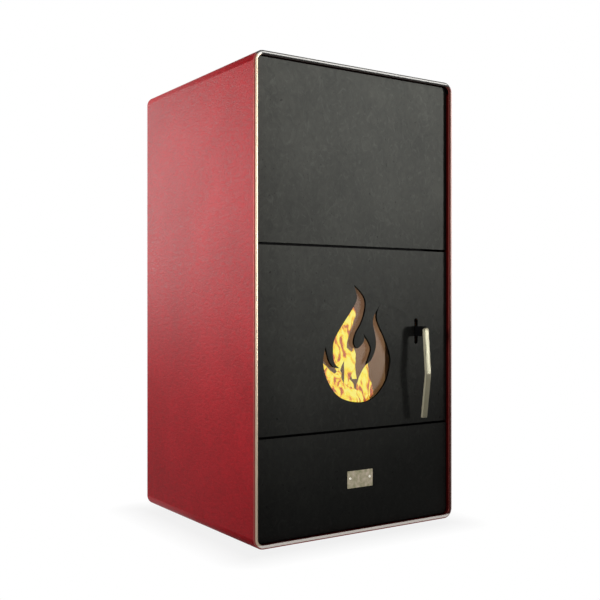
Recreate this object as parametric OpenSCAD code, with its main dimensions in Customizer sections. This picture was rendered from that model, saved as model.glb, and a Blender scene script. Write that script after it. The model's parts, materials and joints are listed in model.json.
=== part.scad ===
// Pellet boiler stove with a sheet steel casing, a slate-look front in three panels, a fire door
// with a flame-shaped window, and the boiler, feed and fan behind it.
// Millimetres. X runs to the right as seen from the front, Y to the rear, Z up.
// The origin is on the floor, under the middle of the whole object.

/* [Casing] */
// Width of the casing
casing_w = 575; // [560:1:620]
// Depth from the front rim to the rear edge
casing_d = 560; // [555:1:620]
// Height of the casing without its feet
casing_h = 1085; // [1070:1:1160]
// Outer radius of the four long corners
casing_r = 24; // [20:1:30]
// Thickness of the casing sheet
sheet_t = 2; // [1.5:0.5:2.5]
// Width of the inward lip that carries the rear panel
rear_lip_w = 15; // [13:1:16]
// Distance from the casing's rear edge to the rear panel
rear_inset = 3; // [2.5:0.5:5]
// Thickness of the rear panel
rear_t = 2; // [1.5:0.5:3]
// Radius of a rear screw's shank
rear_screw_r = 2; // [1.5:0.5:2.5]
// Height of the lowest vent above the casing's underside
vent_low = 500; // [480:1:540]
// Vents in a column
vent_rows = 8; // [4:1:10]
// Distance between two vents of a column
vent_pitch = 22; // [18:1:26]
// Width of a vent
vent_w = 110; // [80:1:120]
// Height of a vent
vent_h = 5; // [3:0.5:8]
// Distance between the two columns of vents
vent_gap = 130; // [110:1:140]

/* [Feet and base] */
// Clearance between the floor and the casing
foot_h = 15; // [12:1:20]
// Radius of a foot's pad
foot_r = 20; // [15:1:24]
// Thickness of a foot's pad
foot_pad_t = 8; // [6:1:10]
// Radius of a foot's bolt
foot_bolt_r = 5; // [4:0.5:6]
// Distance from the casing's side to a foot's centre
foot_in_x = 77; // [70:1:95]
// Distance from the casing's front or rear to a foot's centre
foot_in_y = 110; // [95:1:125]
// Thickness of the base plate
base_t = 3; // [2:0.5:4]
// Height of a foot's nut
foot_nut_h = 8; // [6:0.5:10]

/* [Front rim] */
// Width of the rounded rim
rim_w = 8; // [7:0.5:10]
// Depth of the rim
rim_d = 5; // [4:0.5:7]
// How far the rim's face is crowned
rim_crown = 3; // [2:0.5:3.5]
// Thickness of the folded sheet inside the rim
reveal_t = 1.5; // [1:0.25:2]
// Distance from the rim's face to the front frame
frame_set = 50; // [50:1:56]
// Thickness of the front frame
frame_t = 3; // [2:0.5:4]

/* [Front panels] */
// Distance from the rim's face to the panels
panel_set = 13; // [10:0.5:14]
// Thickness of the panels
panel_t = 6; // [4:0.5:7]
// Gap between the panels and the casing
panel_gap = 2.5; // [2:0.5:4]
// Gap beside the door on its hinge side
hinge_gap = 5; // [4.5:0.5:7]
// Gap between two panels
seam_gap = 5; // [4:0.5:7]
// Height of the drawer's front panel
drawer_panel_h = 227; // [222:1:232]
// Height of the door's front panel
door_panel_h = 421; // [412:1:440]
// Radius of the posts behind the upper panel
post_r = 8; // [6:1:12]

/* [Flame window] */
// Width of the flame-shaped cut-out
flame_w = 196; // [150:1:200]
// Height of the flame-shaped cut-out
flame_h = 275; // [240:1:285]
// Height of the cut-out's base above the door panel's lower edge
flame_low = 60; // [52:1:70]
// Thickness of the door glass
glass_t = 4; // [3:0.5:5]
// How far the door frame's opening clears the cut-out
window_margin = 13; // [10:1:16]
// How far the glass laps over the frame's opening
glass_lap = 12; // [8:1:14]

/* [Fire door] */
// Depth of the door frame behind the panel
pan_d = 24; // [22:0.5:25]
// Half the width of the door frame
pan_half_w = 165; // [164:0.5:167]
// Half the height of the door frame
pan_half_h = 176; // [172:1:182]
// Thickness of the door frame's sheet
pan_t = 4; // [3:0.5:5]
// Side of the door's rope gasket
gasket_w = 8; // [6:1:9]
// Distance from the panel's hinge edge to the hinge axis
hinge_in = 18; // [16:0.5:20]
// Distance from the panel's rear face to the hinge axis
hinge_back = 6.5; // [6.5:0.25:8]
// Radius of the hinge pins
hinge_pin_r = 4; // [3:0.25:4.5]
// Radius of the hinge barrels
hinge_barrel_r = 6; // [5.5:0.25:6]
// Height of a hinge barrel
hinge_barrel_h = 22; // [16:1:30]
// Distance from the panel's edges to the middle of a barrel
hinge_end = 65; // [58:1:80]

/* [Latch and handle] */
// Distance from the middle of the casing to the handle
handle_x = 179; // [178:0.5:190]
// Height of the latch pivot above the door panel's lower edge
latch_up = 225; // [210:1:250]
// Distance from the panel's rear face to the latch pivot
latch_back = 10; // [10:0.5:12]
// Radius of the latch pivot
latch_pin_r = 4; // [3:0.25:4.5]
// Thickness of the latch lever
lever_t = 6; // [4:0.5:7]
// Height of the lever's stem
stem_h = 24; // [16:1:26]
// Width of the slot in the panel
slot_w = 10; // [9:0.5:12]
// Height of the slot in the panel
slot_h = 62; // [56:1:70]
// Width of the handle bar
handle_w = 15; // [12:0.5:18]
// Thickness of the handle bar
handle_t = 7; // [5:0.5:8]
// Distance of the handle's knee in front of the rim
handle_out = 31; // [26:0.5:36]
// Height of the handle's upper, sloping length
handle_upper = 111; // [95:1:125]
// Height of the handle's lower length
handle_lower = 106; // [90:1:115]
// Distance of the handle's top behind its knee
handle_lean_top = 9; // [6:0.5:12]
// Distance of the handle's lower end behind its knee
handle_lean_low = 14.5; // [10:0.5:16]
// Radius of the keeper pin
keeper_r = 3; // [2.5:0.25:3.5]

/* [Boiler] */
// Height of the boiler's underside above the casing's underside
boiler_low = 245; // [240:1:252]
// Width inside the firebox
firebox_w = 262; // [258:1:264]
// Depth inside the firebox
firebox_d = 223; // [218:1:226]
// Outer height of the firebox
firebox_h = 395; // [385:1:405]
// Thickness of the boiler plate
plate_t = 4; // [3:0.5:5]
// Width of the water space round the firebox
water_gap = 29; // [26:0.5:30]
// Space between the smoke box and the casing's top
top_space = 98; // [90:1:115]
// Height of the door mouth in the front frame
mouth_h = 311; // [300:1:316]
// Thickness of the firebox lining
lining_t = 18; // [14:1:22]
// Height of the firebox lining
lining_h = 350; // [345:1:354]
// Thickness of the baffle
baffle_t = 12; // [8:1:15]
// Outer radius of a fire tube
tube_r = 19; // [16:0.5:20]
// Wall of a fire tube
tube_wall = 2; // [1.5:0.5:3]
// Distance between fire tubes
tube_pitch = 46; // [44:1:48]
// Fire tubes across
tube_cols = 5; // [3:2:5]
// Fire tubes front to back
tube_rows = 3; // [1:2:3]
// Height of the smoke box
smoke_h = 80; // [76:1:90]
// Thickness of the smoke box, duct and fan sheet
duct_t = 2; // [1.5:0.5:3]
// How far the cleaning lever lifts
clean_travel = 45; // [30:1:50]
// Radius of the cleaning rod
clean_rod_r = 5; // [4:0.5:6]
// Height of the cleaning knob
knob_h = 20; // [14:1:24]
// Radius of the cleaning knob
knob_r = 16; // [12:1:20]

/* [Ash drawer] */
// Height of the drawer's floor above the casing's underside
ash_floor = 55; // [50:1:60]
// Height of the ash box
ash_box_h = 95; // [80:1:110]
// Depth of the ash box behind its panel
ash_box_d = 245; // [225:1:250]
// Clearance beside the ash box
ash_side_gap = 4; // [3:0.5:8]
// Sheet of the ash box
ash_t = 1.5; // [1:0.5:2]
// Width of the lip that pulls the drawer
pull_w = 120; // [90:1:140]
// Depth of the lip that pulls the drawer
pull_d = 14; // [10:1:16]
// Width of the nameplate
plate_w = 74; // [60:1:90]
// Height of the nameplate
plate_h = 40; // [30:1:50]
// Distance from the middle of the casing to the nameplate's middle
plate_x = 6.5; // [-20:0.5:20]
// Height of the nameplate's middle above the panel's lower edge
plate_z = 114; // [90:1:140]
// Distance between the nameplate's rivets
rivet_pitch = 57; // [44:1:60]

/* [Burner] */
// Width of the burner's air box
air_box_w = 210; // [200:1:218]
// Depth of the burner's air box
air_box_d = 128; // [122:1:134]
// Height of the burner's air box
air_box_h = 51; // [51:1:56]
// Width of the burn pot
pot_w = 110; // [90:1:120]
// Depth of the burn pot
pot_d = 90; // [70:1:94]
// Height of the burn pot's rim above the air box
pot_up = 18; // [12:1:26]
// Depth of the burn pot below the air box's top
pot_down = 38; // [30:1:40]
// Thickness of the burner's sheet
burner_t = 3; // [2:0.5:4]
// Outer radius of the air intake
intake_r = 25; // [20:0.5:25]
// Distance from the middle to the air intake
intake_x = 76; // [74:0.5:78]
// Radius of the igniter
igniter_r = 5; // [4:0.5:6]

/* [Pellet feed] */
// Width of the hopper
hopper_w = 460; // [420:1:470]
// Height of the hopper's straight part
hopper_h = 283; // [260:1:290]
// Height of the hopper's funnel
funnel_h = 125; // [115:1:135]
// Sheet of the hopper
hopper_t = 1.5; // [1:0.5:2]
// Width of the filling mouth
filler_w = 380; // [300:1:400]
// Lip between the filling mouth and the hopper's walls
filler_edge = 14; // [10:1:20]
// Bars of the grille
grille_bars = 10; // [8:1:12]
// Height of the lid
lid_h = 12; // [10:0.5:14]
// How far the lid laps over the mouth
lid_lap = 10; // [6:1:12]
// Inner radius of the auger tube
auger_r = 30; // [27:0.5:31]
// Wall of the auger tube
auger_wall = 3; // [2:0.5:3]
// Pitch of the auger's flight
auger_pitch = 35; // [25:1:45]
// Outer radius of the feed chute
chute_r = 26; // [23:0.5:27]
// Slope of the feed chute
chute_slope = 52; // [48:1:55]
// Straight length of the chute between the auger tube and its turn
chute_drop = 32; // [28:1:40]
// Width of the auger's gearbox
gearbox_w = 76; // [70:1:80]
// Depth of the auger's gearbox
gearbox_d = 26; // [22:1:28]
// Radius of the auger's motor
auger_motor_r = 27; // [24:1:30]

/* [Smoke fan] */
// Width of the smoke duct
duct_w = 100; // [90:1:104]
// Depth of the smoke duct
duct_d = 28; // [24:1:29]
// Distance from the middle to the fan's axis
fan_x = 110; // [108:1:114]
// Height of the fan's axis above the casing's underside
fan_z = 200; // [196:1:204]
// Outer radius of the fan housing
fan_r = 75; // [68:1:78]
// Depth of the fan housing
fan_d = 60; // [50:1:66]
// Number of fan blades
fan_blades = 12; // [8:1:16]
// Radius of the fan motor
fan_motor_r = 38; // [30:1:42]
// Length of the fan motor
fan_motor_l = 58; // [50:1:66]
// Distance from the middle to the flue
flue_x = 5; // [2:0.5:8]
// Height of the flue's axis above the casing's underside
flue_z = 225; // [222:1:228]
// Outer radius of the flue spigot
flue_r = 40; // [38:0.5:42]
// How far the flue spigot stands out at the rear
flue_out = 60; // [45:1:80]

/* [Water side] */
// Outer radius of the water pipes
pipe_r = 16.85; // [13.5:0.05:18]
// Wall of the water pipes
pipe_wall = 3.25; // [2.5:0.25:3.5]
// Distance from the middle to the water pipes
pipe_x = 218; // [214:1:222]
// Bend radius of the water pipes
bend_r = 30; // [26:1:32]
// Height of the supply outlet above the casing's underside
supply_z = 250; // [240:1:270]
// Height of the return inlet above the casing's underside
return_z = 130; // [120:1:140]
// How far the pipes and the air intake stand out at the rear
pipe_out = 25; // [20:1:40]
// Length of the circulation pump between its unions
pump_l = 80; // [70:1:100]
// Radius of the pump's volute
volute_r = 32; // [28:1:34]
// Width of the pump's volute
volute_w = 38; // [34:1:42]
// Radius of the pump's motor
pump_motor_r = 36; // [30:1:38]
// Length of the pump's motor
pump_motor_l = 56; // [50:1:58]
// Radius of the expansion vessel
vessel_r = 110; // [90:1:115]
// Height of the expansion vessel's middle above the casing's underside
vessel_z = 560; // [520:1:600]
// Space between the boiler and the expansion vessel
vessel_stand = 14; // [12:1:20]
// Space between the expansion vessel and the casing
vessel_gap = 23.5; // [18:0.5:40]
// Radius of the safety valve's body
valve_r = 11; // [9:0.5:12]

/* [Controls] */
// Width of the control panel
control_w = 150; // [140:1:165]
// Depth of the control panel
control_d = 70; // [60:1:80]
// Distance from the casing's side to the control panel's middle
control_in = 137.5; // [130:0.5:150]
// Distance from the rim to the control panel
control_back = 60; // [55:1:80]
// Radius of a key
key_r = 7; // [5:0.5:8]
// Distance between keys
key_pitch = 20; // [18.5:0.5:22]
// How far a key travels
key_travel = 1.5; // [1:0.25:2]
// Distance from the casing's side to the power inlet's middle
inlet_in = 72.5; // [62:0.5:82]
// Height of the power inlet above the casing's underside
inlet_z = 120; // [100:1:160]
// Thickness of the control box with its back plate
box_t = 58; // [50:1:64]
// Depth of the control box along the casing's side
box_l = 150; // [130:1:170]
// Height of the control box
box_h = 190; // [160:1:210]
// Height of the control box's middle above the casing's underside
box_z = 425; // [400:1:450]
// Distance from the casing's rear edge to the control box's middle
box_back = 105; // [95:1:130]

/* [Fits] */
// Gap between pieces that are seated or bolted together
seat_gap = 0.2; // [0.1:0.05:0.3]
// Radial clearance round a hinge pin or a shaft
run_gap = 0.05; // [0.02:0.01:0.1]
// Clearance round a key and under it
key_gap = 0.3; // [0.2:0.05:0.4]

/* [Hidden] */
$fn = 48;
// How far a cut runs past the face it opens
over = 1;

// Colours as the photo shows them, and plain metal colours for what it hides
red = "firebrick";
slate = "#38393a";
ivory = "#e8dcc0";
steel = "silver";
dark_steel = "dimgray";
black = "#202020";
brown = "#8a6a50";

// A distance behind the rim's face, a height above the casing's underside, a stretch about a middle
front_y = (handle_out + handle_t / 2 - casing_d - flue_out) / 2;
function back(d) = front_y + d;
function up(h) = foot_h + h;
function about(middle, size) = [middle - size / 2, middle + size / 2];
function grown(span, by) = [span[0] - by, span[1] + by];

// Levels of the casing and the front
rear_y = back(casing_d);
top_z = up(casing_h);
ceiling_z = top_z - sheet_t;
base_top = up(sheet_t + base_t);
rear_panel_y = [rear_y - rear_inset - rear_t, rear_y - rear_inset];
rear_lip_y = [rear_panel_y[0] - sheet_t, rear_panel_y[0]];
panel_y = [back(panel_set), back(panel_set + panel_t)];
panel_inset = rim_w + panel_gap;
panel_half_w = casing_w / 2 - panel_inset;
frame_y = [back(frame_set), back(frame_set + frame_t)];
drawer_z = [up(panel_inset), up(panel_inset + drawer_panel_h)];
door_z = [drawer_z[1] + seam_gap, drawer_z[1] + seam_gap + door_panel_h];
upper_z = [door_z[1] + seam_gap, top_z - panel_inset];
post_in = 40;

// Boiler block, from the front frame to the rear
firebox_x = about(0, firebox_w);
firebox_y = [frame_y[1], frame_y[1] + firebox_d];
firebox_z = [up(boiler_low), up(boiler_low + firebox_h)];
shell_x = grown(firebox_x, plate_t);
shell_y = [firebox_y[0], firebox_y[1] + plate_t];
jacket_x = grown(shell_x, water_gap + plate_t);
jacket_y = [firebox_y[0], shell_y[1] + water_gap + plate_t];
jacket_z = [firebox_z[0], ceiling_z - top_space - smoke_h];
hearth_z = firebox_z[0] + plate_t;
flame_z = door_z[0] + flame_low;
window_z = flame_z + flame_h / 2;
mouth_z = about(window_z, mouth_h);
lining_z = [hearth_z, hearth_z + lining_h];
tube_mid_y = (firebox_y[0] + firebox_y[1]) / 2;
tube_z = [firebox_z[1] - plate_t, jacket_z[1]];
tube_spots = [
    for (i = [0 : tube_cols - 1], j = [0 : tube_rows - 1])
        [(i - (tube_cols - 1) / 2) * tube_pitch, tube_mid_y + (j - (tube_rows - 1) / 2) * tube_pitch]
];
smoke_z = [jacket_z[1], jacket_z[1] + smoke_h];
smoke_x = grown(jacket_x, -8);
smoke_y = [jacket_y[0] + 17, jacket_y[1]];

// Burner
air_box_x = about(0, air_box_w);
lining_front = firebox_y[1] - lining_t;
air_box_y = [lining_front - air_box_d, lining_front];
air_box_z = [hearth_z, hearth_z + air_box_h];
pot_x = about(0, pot_w);
pot_y = about((air_box_y[0] + air_box_y[1]) / 2, pot_d);
pot_z = [air_box_z[1] - pot_down, air_box_z[1] + pot_up];
intake_z = (air_box_z[0] + air_box_z[1]) / 2;
igniter_z = pot_z[0] + pot_down / 2 + 4;

// Ash drawer
ash_gap_y = [firebox_y[0] + 6, air_box_y[0] - 4];
ash_outer_x = shell_x;
ash_floor_z = [up(ash_floor), up(ash_floor) + ash_t];
ash_mouth_top = ash_floor_z[1] + ash_box_h + 25;
ash_box_x = grown(ash_outer_x, -duct_t - ash_side_gap);
ash_box_y = [panel_y[1], panel_y[1] + ash_box_d];
ash_box_z = [ash_floor_z[1] + seat_gap, ash_floor_z[1] + seat_gap + ash_box_h];

// Pellet feed
duct_x = about(fan_x, duct_w);
duct_y = [jacket_y[1], jacket_y[1] + duct_d];
hopper_x = about(0, hopper_w);
hopper_y = [duct_y[1] + 6, rear_lip_y[0] - 8];
hopper_z = [ceiling_z - hopper_h - funnel_h, ceiling_z - hopper_h, ceiling_z];
filler_x = about(0, filler_w);
filler_y = grown(hopper_y, -filler_edge);
auger_tube_r = auger_r + auger_wall;
auger_z = hopper_z[0] - auger_tube_r - 17;
chute_y = jacket_y[1] + chute_r + 6;
auger_y = [chute_y - chute_r - 3, rear_panel_y[0] - 70];
neck_x = about(0, 2 * auger_r - 8);
neck_y = [hopper_y[0] + 57, auger_y[1] - 6];
chute_turn_z = auger_z - auger_tube_r - chute_drop;
chute_l = (chute_y - lining_front) / cos(chute_slope) + 2 * chute_r;
shaft_r = 8;
auger_shaft_in = 14;
gearbox_y = [auger_y[1], auger_y[1] + gearbox_d];
lid_x = grown(filler_x, lid_lap);
lid_y = grown(filler_y, lid_lap);
lid_z = [top_z + seat_gap, top_z + lid_h];
lid_axis = [lid_y[1] + 7, top_z + 6];
lid_barrel_r = 5;
lid_pin_r = 2.5;
lid_hinge_x = 140;
lid_barrel_l = 29;
lid_eye_l = 9;
lid_eye_x = (lid_barrel_l + lid_eye_l) / 2 + 1;

// Smoke fan
fan_y = [duct_y[1], duct_y[1] + fan_d];
flue_box_x = [flue_x - flue_r - 10, fan_x];
flue_box_z = about(up(flue_z), 2 * flue_r + 20);
fan_inlet_r = fan_r * 0.45;
fan_shaft_r = 4;
fan_shaft_in = 28;
motor_flange_t = 4;
duct_low_z = up(fan_z) - fan_r * 0.7;
disc_y = [fan_y[1] - 9, fan_y[1] - 7];

// Door: hinge axis and latch pivot seen from the side
hinge_x = -casing_w / 2 + rim_w + hinge_gap + hinge_in;
hinge_y = panel_y[1] + hinge_back;
hinge_heights = [door_z[0] + hinge_end, door_z[1] - hinge_end];
eye_h = 10;
latch_y = panel_y[1] + latch_back;
latch_z = door_z[0] + latch_up;
pan_y = [panel_y[1], panel_y[1] + pan_d];
window_x = about(0, flame_w + 2 * window_margin);
window_span_z = about(window_z, flame_h + 2 * window_margin);
glass_x = grown(window_x, glass_lap);
glass_z = grown(window_span_z, glass_lap);
glass_y = [pan_y[0] + pan_t + seat_gap, pan_y[0] + pan_t + seat_gap + glass_t];
handle_top_z = latch_z + 8.5;
lever_eye_r = latch_pin_r + 8;
keeper_y = latch_y + lever_eye_r + keeper_r + 1;
keeper_z = latch_z + 2;
latch_ear_t = 4;
latch_ear_gap = 2;
tooth_top = keeper_z - latch_z + 1;

// Controls
control_px = about(casing_w / 2 - control_in, control_w);
control_py = [back(control_back), back(control_back + control_d)];
control_plate_t = 2;
control_body_h = 22;
key_spots = [for (i = [0 : 2]) [control_px[1] - 16 - i * key_pitch, (control_py[0] + control_py[1]) / 2]];
key_pocket = 8;
display_px = [control_px[0] + 10, control_px[1] - 30 - 2 * key_pitch];
display_py = grown(control_py, -12);
display_t = 1.5;
inlet_x = casing_w / 2 - inlet_in;
inlet_px = about(inlet_x, 30);
inlet_pz = about(up(inlet_z), 62);
socket_z = up(inlet_z) - 15;
rocker_z = up(inlet_z) + 17;
rocker_y = rear_panel_y[1];
rocker_w = 12;
rocker_pin_r = 1.5;

// Basic solids, each given by its stretches along X, Y and Z
module slab(x, y, z) translate([x[0], y[0], z[0]]) cube([x[1] - x[0], y[1] - y[0], z[1] - z[0]]);
module rod_x(x, y, z, r) translate([x[0], y, z]) rotate([0, 90, 0]) cylinder(r = r, h = x[1] - x[0]);
module rod_y(x, y, z, r) translate([x, y[0], z]) rotate([-90, 0, 0]) cylinder(r = r, h = y[1] - y[0]);
module rod_z(x, y, z, r) translate([x, y, z[0]]) cylinder(r = r, h = z[1] - z[0]);
module along_x(x) translate([x[0], 0, 0]) rotate([90, 0, 90]) linear_extrude(x[1] - x[0]) children();
module along_y(y) translate([0, y[1], 0]) rotate([90, 0, 0]) linear_extrude(y[1] - y[0]) children();

module pipe_y(x, y, z, r, wall) difference() {
    rod_y(x, y, z, r);
    rod_y(x, grown(y, over), z, r - wall);
}

// A rectangular tube along Z with its walls inside the given stretches
module duct_z(x, y, z, wall) difference() {
    slab(x, y, z);
    slab(grown(x, -wall), grown(y, -wall), grown(z, over));
}

module round_rect(w, h, r) {
    square([w - 2 * r, h], center = true);
    square([w, h - 2 * r], center = true);
    for (x = [-1, 1], z = [-1, 1]) translate([x * (w / 2 - r), z * (h / 2 - r)]) circle(r);
}

// The casing's front view, drawn in by an inset
module casing_outline(inset) translate([0, up(casing_h / 2)])
    round_rect(casing_w - 2 * inset, casing_h - 2 * inset, casing_r - inset);

module casing_ring(outer_inset, inner_inset) difference() {
    casing_outline(outer_inset);
    casing_outline(inner_inset);
}

// The part of the front between two heights, with the casing's round corners
module panel_blank(z) along_y(panel_y) intersection() {
    casing_outline(panel_inset);
    translate([-casing_w / 2, z[0]]) square([casing_w, z[1] - z[0]]);
}

// Casing

module foot_spots() for (x = [-1, 1], y = [back(foot_in_y), rear_y - foot_in_y])
    translate([x * (casing_w / 2 - foot_in_x), y, 0]) children();

rear_screw_x = casing_w / 2 - sheet_t - rear_lip_w / 2;
rear_screw_end = 60;
rear_screw_zs = [for (i = [0 : 3]) up(rear_screw_end + i * (casing_h - 2 * rear_screw_end) / 3)];
module rear_screw_spots() for (x = [-1, 1], z = rear_screw_zs) translate([x * rear_screw_x, 0, z]) children();

// Fixed eyes of the lid's hinges, one on each side of each barrel
module lid_eyes() for (x = [-1, 1], side = [-1, 1]) {
    span = about(x * lid_hinge_x + side * lid_eye_x, lid_eye_l);
    rod_x(span, lid_axis[0], lid_axis[1], lid_barrel_r);
    slab(span, about(lid_axis[0], 2 * lid_barrel_r), [top_z - sheet_t / 2, lid_axis[1]]);
}

module casing() color(red) difference() {
    union() {
        along_y([back(rim_d), rear_y]) casing_ring(0, sheet_t);
        along_y(rear_lip_y) casing_ring(sheet_t / 2, sheet_t + rear_lip_w);
        lid_eyes();
    }
    slab(filler_x, filler_y, [ceiling_z - over, top_z + over]);
    slab(grown(control_px, seat_gap), grown(control_py, seat_gap), [ceiling_z - over, top_z + over]);
    rod_z(0, tube_mid_y, [ceiling_z - over, top_z + over], clean_rod_r + 1);
    foot_spots() cylinder(r = foot_bolt_r + seat_gap, h = 2 * foot_h);
    rear_screw_spots() rod_y(0, grown(rear_lip_y, over), 0, rear_screw_r + seat_gap);
    rod_x(about(0, 2 * (lid_hinge_x + lid_eye_x + lid_eye_l)), lid_axis[0], lid_axis[1],
        lid_pin_r + run_gap);
}

// Folded channel that lines the front opening behind the rim
module front_reveal() color(red) difference() {
    along_y([back(rim_d), frame_y[0]]) casing_ring(sheet_t + seat_gap, rim_w);
    along_y([back(rim_d) + reveal_t, frame_y[0] + over])
        casing_ring(sheet_t + seat_gap + reveal_t, rim_w - reveal_t);
}

// The rim's section: flat at the rear, crowned in front, from its inner side outwards
module rim_section() {
    crown_r = (pow(rim_w / 2, 2) + pow(rim_crown, 2)) / (2 * rim_crown);
    intersection() {
        translate([0, -rim_d]) square([rim_w, rim_d]);
        translate([rim_w / 2, -crown_r]) circle(crown_r);
    }
    translate([0, -rim_d]) square([rim_w, rim_d - rim_crown]);
}

module rim_side(length) translate([casing_r - rim_w, 0, -length / 2]) linear_extrude(length) rim_section();

module rim_trim() color(ivory) translate([0, front_y, up(casing_h / 2)]) rotate([90, 0, 0]) {
    corner = [casing_w / 2 - casing_r, casing_h / 2 - casing_r];
    for (x = [0, 1], y = [0, 1]) mirror([x, 0, 0]) mirror([0, y, 0]) translate([corner[0], corner[1], 0])
        rotate_extrude(angle = 90) translate([casing_r - rim_w, 0]) rim_section();
    for (x = [0, 1]) mirror([x, 0, 0]) translate([corner[0], 0, 0]) rotate([90, 0, 0])
        rim_side(2 * corner[1]);
    for (y = [0, 1]) mirror([0, y, 0]) translate([0, corner[1], 0]) rotate([90, 0, 90])
        rim_side(2 * corner[0]);
}

module base_plate() color(dark_steel) difference() {
    slab(about(0, casing_w - 2 * casing_r), [frame_y[1], rear_lip_y[0] - seat_gap],
        [up(sheet_t), base_top]);
    foot_spots() rod_z(0, 0, [0, base_top + over], foot_bolt_r + seat_gap);
}

// Each foot has a pad, a bolt through the base and a nut above it
module levelling_feet() color(black) foot_spots() {
    cylinder(r = foot_r, h = foot_pad_t);
    cylinder(r = foot_bolt_r, h = base_top + 2 * foot_nut_h);
    rod_z(0, 0, [foot_pad_t, foot_h - seat_gap], foot_bolt_r + 4);
    translate([0, 0, base_top + seat_gap]) cylinder(r = foot_bolt_r + 4.5, h = foot_nut_h, $fn = 6);
}

// Plate that closes the front of the boiler, with posts for the upper panel
module front_frame() color(black) {
    difference() {
        along_y(frame_y) casing_outline(sheet_t + seat_gap);
        slab(firebox_x, grown(frame_y, over), mouth_z);
        slab(grown(ash_outer_x, -duct_t), grown(frame_y, over), [ash_floor_z[1], ash_mouth_top]);
        latch_slot(frame_y);
    }
    for (x = [-1, 1], z = [upper_z[0] + post_in, upper_z[1] - post_in])
        rod_y(x * (panel_half_w - post_in), [panel_y[1], frame_y[0] + frame_t / 2], z, post_r);
}

// Opening behind the keeper for the latch's tooth
module latch_slot(y) slab(about(handle_x, lever_t + 6), grown(y, over), [latch_z - 26, latch_z + 14]);

module upper_panel() color(slate) panel_blank(upper_z);

// Half width of the cut-out that both water pipes share
pipe_hatch = pipe_r + 15;
module rear_panel() color(dark_steel) difference() {
    along_y(rear_panel_y) casing_outline(sheet_t + seat_gap);
    rod_y(flue_x, grown(rear_panel_y, over), up(flue_z), flue_r + 1);
    rod_y(-intake_x, grown(rear_panel_y, over), intake_z, intake_r + 1);
    slab(about(-pipe_x, 2 * pipe_hatch), grown(rear_panel_y, over),
        grown([up(return_z), up(supply_z)], pipe_hatch));
    slab(grown(inlet_px, -2), grown(rear_panel_y, over), grown(inlet_pz, -2));
    rear_screw_spots() rod_y(0, grown(rear_panel_y, over), 0, rear_screw_r + seat_gap);
    for (i = [0 : vent_rows - 1], x = [-1, 1])
        slab(about(x * (vent_gap + vent_w) / 2, vent_w), grown(rear_panel_y, over),
            about(up(vent_low + i * vent_pitch), vent_h));
}

module rear_screws() color(steel) rear_screw_spots() {
    rod_y(0, [rear_lip_y[0] - 6, rear_panel_y[1] + 1], 0, rear_screw_r);
    rod_y(0, [rear_panel_y[1], rear_y - 0.4], 0, rear_screw_r + 2);
}

// Ash compartment and drawer

module ash_compartment() color(dark_steel) {
    difference() {
        duct_z(ash_outer_x, shell_y, [base_top, firebox_z[0]], duct_t);
        slab(grown(ash_outer_x, -duct_t), about(frame_y[1], 4 * duct_t), [ash_floor_z[0], ash_mouth_top]);
    }
    slab(grown(ash_outer_x, -duct_t / 2), grown(shell_y, -duct_t / 2), ash_floor_z);
}

module drawer_panel() color(slate) {
    panel_blank(drawer_z);
    slab(about(0, pull_w), [panel_y[1] - over, panel_y[1] + pull_d], [drawer_z[1] - 9, drawer_z[1] - 7]);
}

module ash_box() color(dark_steel) {
    difference() {
        slab(ash_box_x, ash_box_y, ash_box_z);
        slab(grown(ash_box_x, -ash_t), grown(ash_box_y, -ash_t), [ash_box_z[0] + ash_t, ash_box_z[1] + over]);
    }
    slab(ash_box_x, [ash_box_y[0], ash_box_y[0] + ash_t], [ash_box_z[0], ash_box_z[1] + 30]);
}

plate_mid_z = drawer_z[0] + plate_z;
nameplate_y = [panel_y[0] - 1.2, panel_y[0]];
rivet_r = 2;
module rivet_spots() for (x = [-1, 1]) translate([plate_x + x * rivet_pitch / 2, 0, plate_mid_z + 2.5])
    children();

module nameplate() color(ivory) difference() {
    along_y(nameplate_y) translate([plate_x, plate_mid_z]) round_rect(plate_w, plate_h, 1.5);
    rivet_spots() rod_y(0, grown(nameplate_y, over), 0, rivet_r + seat_gap);
}

module nameplate_rivets() color(steel) rivet_spots() {
    rod_y(0, nameplate_y, 0, rivet_r);
    translate([0, nameplate_y[0], 0]) rotate([90, 0, 0]) difference() {
        translate([0, 0, -2.5]) sphere(r = 4.5);
        translate([0, 0, -5]) cube([12, 12, 10], center = true);
    }
}

// Fire door

// A smooth curve through the given points, with a few steps between each two
function curve(p, steps = 4) = [
    for (i = [0 : len(p) - 2], k = [0 : steps - 1])
        let(
            a = p[max(i - 1, 0)], b = p[i], c = p[i + 1], d = p[min(i + 2, len(p) - 1)],
            t = k / steps
        )
        0.5 * (2 * b + (c - a) * t + (2 * a - 5 * b + 4 * c - d) * t * t
            + (3 * b - a - 3 * c + d) * t * t * t)
];

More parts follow.
